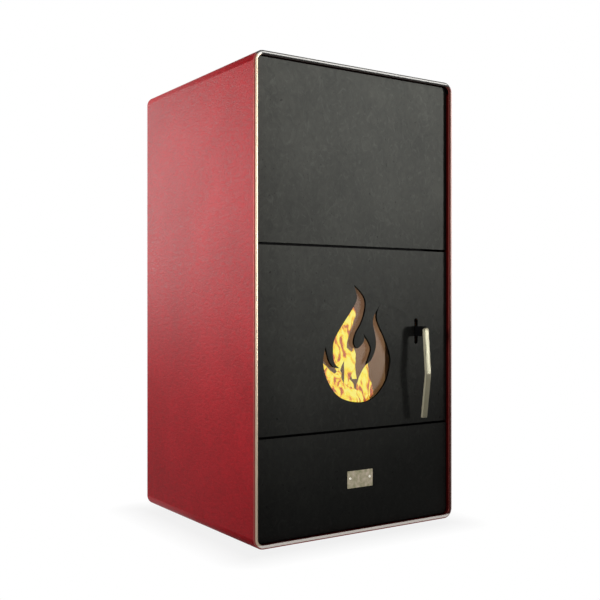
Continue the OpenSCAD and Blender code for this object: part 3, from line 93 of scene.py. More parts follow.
# Rope gasket: half its width, its corners, one turn of its strands, and the step between its rings
GASKET_HALF_WIDTH = 0.004
GASKET_CORNER = 0.010
GASKET_STRANDS = 3
GASKET_PITCH = 0.020
GASKET_STEP = 0.0022
GASKET_STRAND_POINTS = 14

# Flames: points round a ring, rings between two given rows, depth as a share of the width
TONGUE_POINTS = 20
TONGUE_STEPS = 7
TONGUE_DEPTH = 0.42
TONGUE_LEAN = 0.010
TONGUE_SWAY = 0.0025

# Pellets in the burn pot: how many, their radius and lengths, and the room kept to the pot's walls
PELLETS = 110
PELLET_RADIUS = 0.003
PELLET_LENGTHS = (0.010, 0.020)
PELLET_ROOM = 0.024


# Building blocks of the materials

class Surface:
    """One material: its Principled shader, and short ways to feed it from procedural textures."""

    def __init__(self, name, **fixed):
        self.material = bpy.data.materials.new(name)
        self.material.use_nodes = True
        self.tree = self.material.node_tree
        self.shader = self.tree.nodes["Principled BSDF"]
        self.place = self.add("ShaderNodeTexCoord").outputs["Object"]
        for socket, value in fixed.items():
            self.shader.inputs[socket.replace("_", " ")].default_value = value

    def add(self, kind, sockets=None, **settings):
        node = self.tree.nodes.new(kind)
        for key, value in settings.items():
            setattr(node, key, value)
        for key, value in (sockets or {}).items():
            self.feed(node.inputs[key], value)
        return node

    def feed(self, socket, value):
        if isinstance(value, bpy.types.NodeSocket):
            self.tree.links.new(value, socket)
        else:
            socket.default_value = value

    def stretched(self, stretch):
        return self.add("ShaderNodeMapping", {"Vector": self.place, "Scale": stretch}).outputs[0]

    def noise(self, scale, detail=4.0, roughness=0.55, stretch=(1, 1, 1), distortion=0.0):
        sockets = {"Vector": self.stretched(stretch), "Scale": scale, "Detail": detail,
                   "Roughness": roughness, "Distortion": distortion}
        return self.add("ShaderNodeTexNoise", sockets).outputs[0]

    def cells(self, scale, stretch=(1, 1, 1), feature="F1"):
        sockets = {"Vector": self.stretched(stretch), "Scale": scale}
        return self.add("ShaderNodeTexVoronoi", sockets, feature=feature).outputs["Distance"]

    def ramp(self, factor, stops):
        node = self.add("ShaderNodeValToRGB", {"Fac": factor})
        elements = node.color_ramp.elements
        while len(elements) < len(stops):
            elements.new(0.5)
        for element, (position, colour) in zip(elements, stops):
            element.position = position
            element.color = (*colour, 1) if len(colour) == 3 else colour
        return node.outputs["Color"]

    def span(self, factor, low, high, source=(0.3, 0.7)):
        sockets = {"Value": factor, "From Min": source[0], "From Max": source[1],
                   "To Min": low, "To Max": high}
        return self.add("ShaderNodeMapRange", sockets).outputs[0]

    def tones(self, factor, low, high, source=(0.3, 0.7)):
        """From one colour to another, over the given part of the factor's range."""
        return self.ramp(self.span(factor, 0, 1, source), [(0, low), (1, high)])

    def past(self, letter, place, way):
        """0 up to a place on an axis, and 1 from a short way beyond it."""
        return self.span(self.axis(letter), 0, 1, (place, place + way))

    def maths(self, operation, a, b=0.0):
        return self.add("ShaderNodeMath", {0: a, 1: b}, operation=operation, use_clamp=False).outputs[0]

    def weighed(self, a, share, b):
        """The sum of a with its share and b with the rest."""
        return self.maths("ADD", self.maths("MULTIPLY", a, share), self.maths("MULTIPLY", b, 1 - share))

    def blend(self, factor, a, b):
        node = self.add("ShaderNodeMix", data_type="RGBA")
        self.feed(node.inputs[0], factor)
        self.feed(node.inputs[6], a if isinstance(a, bpy.types.NodeSocket) else (*a, 1))
        self.feed(node.inputs[7], b if isinstance(b, bpy.types.NodeSocket) else (*b, 1))
        return node.outputs[2]

    def axis(self, letter):
        return self.add("ShaderNodeSeparateXYZ", {0: self.place}).outputs["XYZ".index(letter)]

    def facing(self, letter, low, high):
        """0 where the piece's surface faces across an axis and 1 where it faces along it."""
        normal = self.tree.nodes["Texture Coordinate"].outputs["Normal"]
        part = self.add("ShaderNodeSeparateXYZ", {0: normal}).outputs["XYZ".index(letter)]
        return self.span(self.maths("ABSOLUTE", part), 0, 1, (low, high))

    def edges(self, radius):
        """1 near the piece's sharp edges and 0 on its faces."""
        rounded = self.add("ShaderNodeBevel", {"Radius": radius}, samples=4).outputs[0]
        plain = self.add("ShaderNodeNewGeometry").outputs["Normal"]
        same = self.add("ShaderNodeVectorMath", {0: rounded, 1: plain}, operation="DOT_PRODUCT")
        return self.span(same.outputs["Value"], 1.0, 0.0, (0.80, 0.99))

    def colour(self, value):
        self.feed(self.shader.inputs["Base Color"], value)

    def roughness(self, value):
        self.feed(self.shader.inputs["Roughness"], value)

    def bump(self, *layers):
        """Each layer is a height, its strength and its depth in metres."""
        normal = None
        for height, strength, depth in layers:
            node = self.add("ShaderNodeBump", {"Height": height, "Strength": strength, "Distance": depth})
            if normal:
                self.feed(node.inputs["Normal"], normal)
            normal = node.outputs[0]
        self.feed(self.shader.inputs["Normal"], normal)


def shade(colour, factor):
    return tuple(min(1.0, c * factor) for c in colour)


# Finishes of the front and the casing

rim_low, rim_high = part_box("rim_trim")


def red_paint():
    """Satin leather-look coating: short horizontal wrinkles and a fine grain."""
    m = Surface("red_paint", Specular_IOR_Level=0.045)
    wrinkles = m.noise(62, 6, 0.66, (1, 1, 2.6), 0.7)
    patches = m.noise(7, 3)
    tone = m.weighed(wrinkles, 0.7, patches)
    m.colour(m.tones(tone, (0.33, 0.0070, 0.0120), (0.49, 0.0130, 0.0215), (0.38, 0.62)))
    m.roughness(m.span(wrinkles, 0.40, 0.52))
    m.bump((m.cells(430, (1, 1, 1.5)), 0.16, 0.0004), (wrinkles, 0.75, 0.0008), (patches, 0.10, 0.002))
    return m.material


def slate_front():
    """Slate-look plates: charcoal, with fine mottling, pale flecks, dark pits and faint clefts; side faces near
    black as painted shade.
    """
    m = Surface("slate_front", Specular_IOR_Level=0.03)
    mottle = m.noise(45, 7, 0.66, (1, 1, 0.8), 1.2)
    clouds = m.noise(8, 4, 0.55)
    flecks = m.noise(40, 4, 0.55, (1, 1, 0.8), 2.4)
    pits = m.cells(85, (1, 1, 0.8), "SMOOTH_F1")
    stone = m.ramp(m.span(m.weighed(mottle, 0.6, clouds), 0, 1, (0.36, 0.64)),
                   [(0, (0.038, 0.039, 0.037)), (0.5, (0.046, 0.047, 0.044)), (1, (0.055, 0.056, 0.052))])
    flecked = m.blend(m.span(flecks, 0, 0.28, (0.54, 0.72)), stone, (0.088, 0.091, 0.084))
    pitted = m.blend(m.span(pits, 0.7, 0, (0.02, 0.12)), flecked, (0.016, 0.016, 0.016))
    # Near black where the surface turns away from the front: painted shade on the plates' side faces, in the seams
    m.colour(m.blend(m.facing("Y", 0.75, 0.97), (0.0020, 0.0020, 0.0020), pitted))
    m.roughness(m.span(mottle, 0.56, 0.72))
    m.bump((pits, 0.10, 0.0006), (mottle, 0.45, 0.0007), (flecks, 0.20, 0.0006))
    return m.material


def reveal_red():
    """Dark red inside the front opening as painted shade, dusty, going to black painted shade towards the rear and
    at the top.
    """
    m = Surface("reveal_red", Specular_IOR_Level=0.02)
    dust = m.noise(30, 4, 0.6)
    # The dark red stands in for shade inside the opening: painted shade, with dust in its tone
    painted_shade_red = m.tones(dust, (0.080, 0.0030, 0.0030), (0.125, 0.0060, 0.0050))
    # Black painted shade towards the rear of the opening and under its top
    black = (0.0040, 0.0010, 0.0010)
    painted_shade_rearwards = m.past("Y", rim_low.y + 0.006, 0.018)
    above = m.past("Z", rim_high.z - 0.030, 0.006)
    m.colour(m.blend(above, m.blend(painted_shade_rearwards, painted_shade_red, black), black))
    m.roughness(m.span(dust, 0.60, 0.75))
    m.bump((m.noise(400, 3), 0.15, 0.0002))
    return m.material


def ivory_trim():
    """Satin ivory on drawn aluminium, red from the casing on its shoulder. Painted light and shade: grey-white on
    the top rail, black on its inner part and dark on its shoulder, dark red inside the right rail, near white on
    the bottom rail."""
    m = Surface("ivory_trim", Metallic=0.5, Specular_IOR_Level=0.2)
    marks = m.noise(900, 2, 0.5, (1, 1, 0.02))
    ivory = m.tones(m.noise(14, 3), (0.54, 0.425, 0.315), (0.60, 0.470, 0.350))
    top_rail_painted_light, black, rail_painted_shade = (0.52, 0.515, 0.50), (0.004, 0.004, 0.004), (0.040, 0.007, 0.005)

    # Top rail: grey-white as painted light, with black painted shade under its outer line, except at the left
    # corner
    outer_line = m.past("Z", rim_high.z - 0.0062, 0.0008)
    beyond_corner = m.past("X", rim_low.x + 0.012, 0.008)
    top_rail = m.blend(beyond_corner, top_rail_painted_light, m.blend(outer_line, black, top_rail_painted_light))

    # Right rail: dark red painted shade inside its pale line. Bottom rail: nearly white, a painted highlight
    outer_side = m.past("X", rim_high.x - 0.0056, 0.0008)
    right_rail = m.blend(outer_side, rail_painted_shade, (0.54, 0.44, 0.38))
    rails = m.blend(m.past("X", rim_high.x - 0.022, 0.004), ivory, right_rail)
    rails = m.blend(m.past("Z", rim_low.z + 0.011, -0.002), rails, (0.86, 0.80, 0.74))

    # Shoulder: red from the casing, and dark along the top rail as painted shade
    on_top = m.past("Z", rim_high.z - 0.012, 0.003)
    shoulder = m.blend(on_top, (0.30, 0.060, 0.050), (0.060, 0.058, 0.056))
    behind_face = m.past("Y", rim_low.y + 0.0019, 0.0004)
    m.colour(m.blend(behind_face, m.blend(on_top, rails, top_rail), shoulder))
    m.roughness(m.span(marks, 0.36, 0.48))
    m.bump((marks, 0.08, 0.0001))
    return m.material


def champagne_plate():
    """Brushed champagne metal of the nameplate, brushed from side to side."""
    m = Surface("champagne_plate", Metallic=0.85)
    brushing = m.noise(1400, 3, 0.6, (0.025, 1, 1))
    stains = m.noise(95, 4, 0.6)
    m.colour(m.ramp(m.span(stains, 0, 1), [(0, (0.20, 0.195, 0.115)), (0.5, (0.31, 0.275, 0.190)),
                                           (1, (0.43, 0.365, 0.285))]))
    m.roughness(m.span(brushing, 0.30, 0.46))
    m.bump((brushing, 0.16, 0.0001))
    return m.material


def champagne_bar():
    """Satin champagne lacquer of the handle, with faint marks along the bar, and its sides paler as painted light.
    """
    m = Surface("champagne_bar", Specular_IOR_Level=0.5, Specular_Tint=(1.0, 0.97, 0.72, 1.0))
    marks = m.noise(600, 3, 0.6, (1, 1, 0.03))
    cloud = m.noise(30, 3, 0.5, (1, 1, 0.4))
    front = m.tones(cloud, (0.27, 0.245, 0.165), (0.35, 0.32, 0.22))
    # Faces turned across X paler than the front: painted light on the bar's sides
    m.colour(m.blend(m.facing("X", 0.6, 0.9), front, (0.72, 0.68, 0.50)))
    m.roughness(m.span(marks, 0.27, 0.34))
    m.bump((marks, 0.05, 0.0001))
    return m.material


# Plain families: sheet and castings, metals, mouldings

def painted(name, colour, roughness=0.5, grain=500, wear=None, specular=0.35):
    """Stove paint or powder coat: a fine orange peel, cloudy tone, and edges rubbed towards wear."""
    m = Surface(name, Specular_IOR_Level=specular)
    cloud = m.noise(18, 5, 0.6)
    peel = m.noise(grain, 3, 0.5)
    tone = m.tones(cloud, shade(colour, 0.78), shade(colour, 1.22))
    if wear:
        rubbed = m.maths("MULTIPLY", m.edges(0.0012), m.span(m.noise(120, 4), 0, 0.7))
        tone = m.blend(rubbed, tone, wear)
    m.colour(tone)
    m.roughness(m.span(cloud, roughness - 0.06, roughness + 0.08))
    m.bump((peel, 0.18, 0.0002))
    return m.material


def metal(name, colour, roughness=0.34, brush=(1, 1, 0.05), spangle=0.0):
    """Bare or plated metal: brushing or rolling marks, and the patches of a zinc coat if it has one."""
    m = Surface(name, Metallic=1.0)
    marks = m.noise(700, 3, 0.6, brush)
    cloud = m.noise(12, 4, 0.6)
    flakes = m.cells(75)
    zinc = m.maths("MULTIPLY", m.span(flakes, -0.5, 0.5, (0, 0.8)), spangle)
    tone = m.maths("ADD", m.span(cloud, -0.5, 0.5), zinc)
    m.colour(m.tones(tone, shade(colour, 0.72), shade(colour, 1.16), (-0.8, 0.8)))
    rough = m.maths("ADD", marks, m.maths("MULTIPLY", flakes, spangle * 0.4))
    m.roughness(m.span(rough, roughness - 0.08, roughness + 0.12, (0.3, 0.9)))
    m.bump((marks, 0.10, 0.0001))
    return m.material


def cast(name, colour, roughness=0.6):
    """Sand casting: coarse grain over slow waves."""
    m = Surface(name, Specular_IOR_Level=0.4)
    grit = m.noise(420, 5, 0.7)
    waves = m.noise(40, 3)
    m.colour(m.tones(m.maths("ADD", grit, waves), shade(colour, 0.7), shade(colour, 1.25), (0.7, 1.3)))
    m.roughness(m.span(grit, roughness - 0.05, roughness + 0.12))
    m.bump((grit, 0.45, 0.0004), (waves, 0.15, 0.0008))
    return m.material


def moulded(name, colour, roughness=0.42, texture=0.22, specular=0.5):
    """Moulded plastic or glazed ceramic with a fine spark texture."""
    m = Surface(name, Specular_IOR_Level=specular)
    spark = m.noise(1500, 2, 0.5)
    cloud = m.noise(25, 2)
    m.colour(m.tones(cloud, shade(colour, 0.9), shade(colour, 1.1)))
    m.roughness(m.span(spark, roughness - 0.05, roughness + 0.08))
    m.bump((spark, texture, 0.0001))
    return m.material


def display():
    """Dark window with the rows of a sleeping segment display behind it."""
    m = Surface("display", Specular_IOR_Level=0.6, Coat_Weight=0.6, Coat_Roughness=0.05)
    rows = m.maths("SINE", m.maths("MULTIPLY", m.axis("Y"), 900))
    m.colour(m.tones(rows, (0.010, 0.014, 0.022), (0.016, 0.024, 0.040), (-1, 1)))
    m.roughness(m.span(m.noise(300, 3), 0.06, 0.16))
    m.bump((m.noise(40, 2), 0.02, 0.0002))
    return m.material


def lining():
    """Pressed board, brown and dry, with its grain, soot and hairline cracks."""
    m = Surface("lining", Specular_IOR_Level=0.1)
    grain = m.noise(260, 5, 0.7)
    soot = m.noise(11, 4, 0.6, (1, 1, 0.6))
    cracks = m.cells(28, (1, 1, 1.4), "DISTANCE_TO_EDGE")
    board = m.tones(grain, (0.175, 0.116, 0.082), (0.225, 0.150, 0.106))
    m.colour(m.blend(m.span(soot, 0.0, 0.45, (0.45, 0.75)), board, (0.12, 0.075, 0.055)))
    m.roughness(m.span(grain, 0.80, 0.95))
    m.bump((grain, 0.45, 0.0005), (m.span(cracks, 0, 1, (0, 0.03)), 0.25, 0.0006))
    return m.material


def fire_glass():
    """Ceramic glass, clear with a faint amber tone and a slight ripple."""
    m = Surface("fire_glass", Transmission_Weight=1.0, IOR=1.47)
    haze = m.noise(7, 3)
    m.colour(m.tones(haze, (0.93, 0.87, 0.80), (0.97, 0.93, 0.87)))
    m.roughness(m.span(haze, 0.0, 0.03))
    m.bump((m.noise(16, 2), 0.02, 0.0002))
    return m.material


def rope():
    """Glass-fibre rope: pale grey yarns, darkened by smoke."""
    m = Surface("rope", Specular_IOR_Level=0.15, Sheen_Weight=0.3)
    yarn = m.noise(900, 3, 0.6)
    smoke = m.noise(14, 4, 0.6)
    fibre = m.tones(yarn, (0.13, 0.125, 0.115), (0.34, 0.33, 0.30))
    m.colour(m.blend(m.span(smoke, 0.0, 0.75), fibre, (0.06, 0.055, 0.05)))
    m.roughness(m.span(yarn, 0.8, 0.95))
    m.bump((yarn, 0.6, 0.0005))
    return m.material


def burning(name, stops, scale, stretch, strength):
    """What glows: curling patches from dull red to yellow, given off as light."""
    m = Surface(name, Specular_IOR_Level=0.0, Roughness=1.0)
    patches = m.noise(scale, 3, 0.50, stretch, 1.9)
    m.colour(m.ramp(patches, [(0, (0, 0, 0)), (1, (0.02, 0.01, 0))]))
    m.feed(m.shader.inputs["Emission Color"], m.ramp(patches, stops))
    m.shader.inputs["Emission Strength"].default_value = strength
    return m.material


FINISHES = {
    "red_paint": red_paint,
    "reveal_red": reveal_red,
    "slate_front": slate_front,
    "ivory_trim": ivory_trim,
    "champagne_plate": champagne_plate,
    "champagne_bar": champagne_bar,
    "rivet_metal": lambda: metal("rivet_metal", (0.72, 0.68, 0.58), 0.16, (1, 1, 1)),
    "black_steel": lambda: painted("black_steel", (0.0060, 0.0060, 0.0064), 0.68,
                                   wear=(0.03, 0.03, 0.03), specular=0.03),
    "grey_steel": lambda: painted("grey_steel", (0.16, 0.17, 0.18), 0.55, 300, wear=(0.30, 0.30, 0.31)),
    "rear_grey": lambda: painted("rear_grey", (0.085, 0.085, 0.09), 0.48, 700),
    "zinc_steel": lambda: metal("zinc_steel", (0.60, 0.61, 0.62), 0.38, spangle=0.9),
    "bright_steel": lambda: metal("bright_steel", (0.66, 0.65, 0.62), 0.30),
    "cast_pot": lambda: cast("cast_pot", (0.060, 0.055, 0.050), 0.68),
    "lining": lining,
    "door_brown": lambda: painted("door_brown", (0.34, 0.22, 0.15), 0.62, 300, specular=0.05),
    "fire_glass": fire_glass,
    "rope": rope,
    "black_plastic": lambda: moulded("black_plastic", (0.024, 0.024, 0.027), 0.45),
    "key_plastic": lambda: moulded("key_plastic", (0.45, 0.46, 0.47), 0.36, 0.08),
    "display": display,
    "switch_green": lambda: moulded("switch_green", (0.02, 0.20, 0.05), 0.22, 0.04),
    "pipe_copper": lambda: painted("pipe_copper", (0.42, 0.15, 0.07), 0.50, 350),
    "pump_red": lambda: cast("pump_red", (0.30, 0.030, 0.030), 0.45),
    "vessel_red": lambda: painted("vessel_red", (0.45, 0.030, 0.030), 0.30, 250),
    "brass_body": lambda: metal("brass_body", (0.66, 0.47, 0.20), 0.32),
    "white_ceramic": lambda: moulded("white_ceramic", (0.72, 0.70, 0.65), 0.30, 0.10),
    "box_grey": lambda: moulded("box_grey", (0.50, 0.51, 0.51), 0.48),
}
finishes = {name: make() for name, make in FINISHES.items()}


# Building blocks of the shapes

def add_piece(name, mesh, finish, body, angle=35):
    """Puts a mesh that lies in the frame's own coordinates into the scene, riding on a body. Its
    finish is the name of one of the finishes, or a material that no solid has."""
    mesh.shade_smooth()
    mesh.set_sharp_from_angle(angle=math.radians(angle))
    mesh.materials.clear()
    mesh.materials.append(finishes.get(finish, finish))
    piece = bpy.data.objects.new(name, mesh)
    bpy.context.scene.collection.objects.link(piece)
    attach(piece, body)
    return piece


def loft(name, rings, loop=False):
    """A closed mesh through rings of points: round a loop, or from one capped end to the other."""
    shape = bmesh.new()
    rows = [[shape.verts.new(point) for point in ring] for ring in rings]
    last = len(rows) if loop else len(rows) - 1
    for i in range(last):
        a, b = rows[i], rows[(i + 1) % len(rows)]
        for j in range(len(a)):
            k = (j + 1) % len(a)
            shape.faces.new((a[j], a[k], b[k], b[j]))
    if not loop:
        shape.faces.new(rows[0])
        shape.faces.new(rows[-1])
    bmesh.ops.recalc_face_normals(shape, faces=shape.faces)
    mesh = bpy.data.meshes.new(name)
    shape.to_mesh(mesh)
    shape.free()
    return mesh


def plate(name, outlines, y_front, y_back, edge):
    """A flat plate across Y with rounded edges, from outlines in X and Z: the first round the others."""
    curve = bpy.data.curves.new(name, "CURVE")
    curve.dimensions = "2D"
    curve.fill_mode = "BOTH"
    curve.extrude = (y_back - y_front) / 2 - edge
    curve.bevel_depth = edge
    curve.bevel_resolution = 2
    curve.offset = -edge
    for outline in outlines:
        spline = curve.splines.new("POLY")
        spline.points.add(len(outline) - 1)
        for point, (x, z) in zip(spline.points, outline):
            point.co = (x, z, 0, 1)
        spline.use_cyclic_u = True
    holder = bpy.data.objects.new(name + "_outline", curve)
    bpy.context.scene.collection.objects.link(holder)
    graph = bpy.context.evaluated_depsgraph_get()
    mesh = bpy.data.meshes.new_from_object(holder.evaluated_get(graph))
    bpy.data.objects.remove(holder)
    middle = (y_front + y_back) / 2
    for vertex in mesh.vertices:
        x, z, depth = vertex.co
        vertex.co = (x, middle - depth, z)
    shape = bmesh.new()
    shape.from_mesh(mesh)
    bmesh.ops.remove_doubles(shape, verts=shape.verts, dist=1e-6)
    bmesh.ops.recalc_face_normals(shape, faces=shape.faces)
    shape.to_mesh(mesh)
    shape.free()
    return mesh


def arc(centre, radius, start, end, steps):
    """Points on an arc, with its angles in degrees from +X towards +Z."""
    angles = [math.radians(start + (end - start) * i / steps) for i in range(steps + 1)]
    return [(centre[0] + radius * math.cos(a), centre[1] + radius * math.sin(a)) for a in angles]


def rounded_box(low, high, radii, steps=8):
    """Outline of a rectangle whose corners have the given radii, from the lower left one anticlockwise."""
    corners = [(low[0], low[1]), (high[0], low[1]), (high[0], high[1]), (low[0], high[1])]
    inward = [(1, 1), (-1, 1), (-1, -1), (1, -1)]
    points = []
    for (x, z), (sx, sz), radius, start in zip(corners, inward, radii, (180, 270, 0, 90)):
        points += arc((x + sx * radius, z + sz * radius), radius, start, start + 90, steps)
    return points


def smooth_through(points, steps=10):
    """Points of a smooth curve through the given ones, without the last one."""
    found = []
    for i in range(len(points) - 1):
        a, b = Vector(points[max(i - 1, 0)]), Vector(points[i])
        c, d = Vector(points[i + 1]), Vector(points[min(i + 2, len(points) - 1)])
        for k in range(steps):
            t = k / steps
            found.append(0.5 * (2 * b + (c - a) * t + (2 * a - 5 * b + 4 * c - d) * t ** 2
                                + (3 * b - a - 3 * c + d) * t ** 3))
    return found


# Pieces of the front

casing_low, casing_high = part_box("casing")


def make_rim():
    """Rounded rim with a low shoulder along its outer edge."""
    # Section of the rim: distance in from the outer edge, distance back from the front plane
    depth = rim_high.y - rim_low.y
    section = [(0.0, depth), (0.0, 0.0036), (0.0005, 0.0029), (0.0012, 0.0025), (0.0020, 0.0024),
               (0.0027, 0.0024), (0.0030, 0.0015), (0.0033, 0.0009), (0.0038, 0.0005), (0.0045, 0.0002),
               (0.0053, 0.0), (0.0064, 0.0), (0.0074, 0.0003), (0.0082, 0.0008), (0.0088, 0.0014),
               (RIM_WIDTH, 0.0018), (RIM_WIDTH, depth)]
    radius = CASING_RADIUS
    steps = 12
    corners = [(rim_low.x + radius, rim_low.z + radius, 180), (rim_high.x - radius, rim_low.z + radius, 270),
               (rim_high.x - radius, rim_high.z - radius, 0), (rim_low.x + radius, rim_high.z - radius, 90)]
    rings = []
    for x, z, start in corners:
        for i in range(steps + 1):
            angle = math.radians(start + 90 * i / steps)
            out = Vector((math.cos(angle), 0, math.sin(angle)))
            centre = Vector((x, rim_low.y, z))
            rings.append([centre + out * (radius - inset) + Vector((0, back, 0)) for inset, back in section])
    rim = add_piece("rim_bead", loft("rim_bead", rings, loop=True), "ivory_trim", "root", 50)
    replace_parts(rim, "rim_trim")


# Flame outline in a box one wide and one high: runs of points, each from a tip or a notch to the next
FLAME_RUNS = [
    [(0.45, 1), (0.565, 0.93), (0.62, 0.86), (0.605, 0.76), (0.55, 0.67), (0.475, 0.59),
     (0.445, 0.51), (0.49, 0.462), (0.55, 0.485), (0.595, 0.52), (0.605, 0.55), (0.59, 0.585)],
    [(0.59, 0.585), (0.635, 0.545), (0.68, 0.495), (0.7, 0.44), (0.63, 0.32)],
    [(0.63, 0.32), (0.705, 0.36), (0.76, 0.43), (0.78, 0.5), (0.765, 0.585), (0.735, 0.665),
     (0.75, 0.735), (0.83, 0.825)],
    [(0.83, 0.825), (0.795, 0.765), (0.795, 0.705), (0.835, 0.64), (0.91, 0.545), (0.985, 0.42),
     (1, 0.32), (0.93, 0.165), (0.76, 0.04), (0.55, 0), (0.25, 0.052), (0.075, 0.185), (0, 0.345),
     (0.035, 0.485)],
    [(0.035, 0.485), (0.06, 0.41), (0.095, 0.35), (0.155, 0.31), (0.235, 0.3)],
    [(0.235, 0.3), (0.18, 0.33), (0.15, 0.37), (0.14, 0.44), (0.16, 0.54), (0.28, 0.667),
     (0.405, 0.78), (0.485, 0.87), (0.48, 0.94), (0.45, 1)],
]


def flame_outline(low_z):
    points = [point for run in FLAME_RUNS for point in smooth_through(run)]
    return [((p.x - 0.5) * FLAME_WIDTH, low_z + p.y * FLAME_HEIGHT) for p in points]


def frame_joint(name):
    return next(joint for joint in frame["joints"] if joint["name"] == name)


def make_panel(name, node, body, radii, back=None, holes=(), edge=PANEL_EDGE):
    """One slate-look plate with rounded edges, in the place of a panel's solid."""
    low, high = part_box(node)
    outline = rounded_box((low.x, low.z), (high.x, high.z), radii)
    mesh = plate(name, [outline, *holes], low.y, high.y if back is None else back, edge)
    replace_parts(add_piece(name, mesh, "slate_front", body), node)


def make_panels():
    """The three plates of the front, and the lip behind the drawer's top edge."""
    rounded, sharp = [CASING_RADIUS - PANEL_INSET] * 2, [PANEL_CORNER] * 2
    make_panel("upper_plate", "upper_panel", "root", sharp + rounded)

    low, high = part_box("fire_door_panel")
    lever_low, lever_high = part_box("latch_lever")
    latch_x = (lever_low.x + lever_high.x) / 2
    latch_z = frame_joint("door_latch_lift")["pos_m"][2]
    half_w, half_h = SLOT_WIDTH / 2, SLOT_HEIGHT / 2
    slot = rounded_box((latch_x - half_w, latch_z - half_h), (latch_x + half_w, latch_z + half_h),
                       [SLOT_WIDTH / 2.1] * 4)
    make_panel("door_plate", "fire_door_panel", "fire_door", sharp * 2,
               holes=[flame_outline(low.z + FLAME_ABOVE_DOOR_EDGE), slot], edge=PANEL_EDGE / 2)

    # The drawer's plate is as thick as the upper one: behind it, its box holds the lip
    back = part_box("upper_panel")[1].y
    make_panel("drawer_plate", "drawer_panel", "ash_drawer", rounded + sharp, back)
    low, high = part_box("drawer_panel")
    half_w, half_h, lip_z = LIP_WIDTH / 2, LIP_THICKNESS / 2, high.z - LIP_BELOW_EDGE
    outline = rounded_box((-half_w, lip_z - half_h), (half_w, lip_z + half_h), [0.0009] * 4, 3)
    add_piece("drawer_pull_lip", plate("drawer_pull_lip", [outline], back - 0.0005, high.y, 0.0004),
              "slate_front", "ash_drawer")


def drawn_in(distance, radius):
    """How far a side draws in at this distance from an end that is rounded with the radius."""
    inside = max(radius - distance, 0)
    return radius - math.sqrt(max(radius ** 2 - inside ** 2, 0))


def make_handle():
    """The bent bar, round at its top, with soft edges all along."""
    low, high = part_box("handle_bar")
    x = (low.x + high.x) / 2
    half_w, half_t = HANDLE_WIDTH / 2, HANDLE_THICKNESS / 2
    knee = Vector((low.y + half_t, HANDLE_KNEE_Z))
    # Middle line of the bar, as Y and Z
    top = knee + Vector((HANDLE_TOP_BACK, high.z - HANDLE_KNEE_Z))
    bottom = knee + Vector((HANDLE_FOOT_BACK, low.z - HANDLE_KNEE_Z))
    up, down = (top - knee).normalized(), (bottom - knee).normalized()
    reach = HANDLE_KNEE_RADIUS * math.tan((math.pi - up.angle(down)) / 2)
    above, within, below = HANDLE_RINGS
    turn = [knee + up * reach, knee, knee + down * reach]
    path = [top + (turn[0] - top) * (i / above) ** HANDLE_CROWDING for i in range(above + 1)]
    for i in range(1, within):
        t = i / within
        path.append(turn[0] * (1 - t) ** 2 + turn[1] * 2 * t * (1 - t) + turn[2] * t ** 2)
    path += [bottom + (turn[2] - bottom) * (1 - i / below) ** HANDLE_CROWDING for i in range(below + 1)]
    lengths = [0.0]
    for a, b in zip(path, path[1:]):
        lengths.append(lengths[-1] + (b - a).length)
    rings = []
    for i, point in enumerate(path):
        along = (path[min(i + 1, len(path) - 1)] - path[max(i - 1, 0)]).normalized()
        out = Vector((along.y, -along.x))
        from_top, from_bottom = lengths[i], lengths[-1] - lengths[i]
        at_foot = drawn_in(from_bottom, HANDLE_EDGE)
        width = max(half_w - max(drawn_in(from_top, half_w), at_foot), HANDLE_LEAST)
        thin = max(half_t - max(drawn_in(from_top, HANDLE_EDGE), at_foot), HANDLE_LEAST)
        edge = min(HANDLE_EDGE, width, thin)
        outline = rounded_box((-width, -thin), (width, thin), [edge] * 4, 5)
        rings.append([Vector((x + u, point.x + out.x * v, point.y + out.y * v)) for u, v in outline])
    bar = add_piece("handle_bent_bar", loft("handle_bent_bar", rings), "champagne_bar", "door_latch", 60)
    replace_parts(bar, "handle_bar")


def make_gasket():
    """Rope gasket: three strands laid round the door frame, pressed a little flat."""
    low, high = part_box("door_gasket")
    half_w, half_t = GASKET_HALF_WIDTH, (high.y - low.y) / 2
    middle = rounded_box((low.x + half_w, low.z + half_w), (high.x - half_w, high.z - half_w),
                         [GASKET_CORNER] * 4, 6)
    path = []
    for a, b in zip(middle, middle[1:] + middle[:1]):
        a, b = Vector((*a, 0)), Vector((*b, 0))
        count = max(1, round((b - a).length / GASKET_STEP))
        path += [a + (b - a) * i / count for i in range(count)]
    length = sum((b - a).length for a, b in zip(path, path[1:] + path[:1]))
    turns = round(length / GASKET_PITCH)
    points = GASKET_STRAND_POINTS * GASKET_STRANDS
    rings, travelled = [], 0.0
    for i, point in enumerate(path):
        ahead, behind = path[(i + 1) % len(path)], path[i - 1]
        along = (ahead - behind).normalized()
        side = Vector((along.y, -along.x, 0))
        twist = 2 * math.pi * turns * travelled / length
        ring = []
        for k in range(points):
            angle = 2 * math.pi * k / points
            swell = 0.80 + 0.20 * abs(math.cos((GASKET_STRANDS * angle - twist) / 2))
            u, v = half_w * swell * math.cos(angle), half_t * swell * math.sin(angle)
            spot = point + side * u
            ring.append(Vector((spot.x, (low.y + high.y) / 2 + v, spot.y)))
        rings.append(ring)
        travelled += (ahead - point).length
    gasket = add_piece("gasket_rope", loft("gasket_rope", rings, loop=True), "rope", "fire_door", 60)
    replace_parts(gasket, "door_gasket")


# The fire

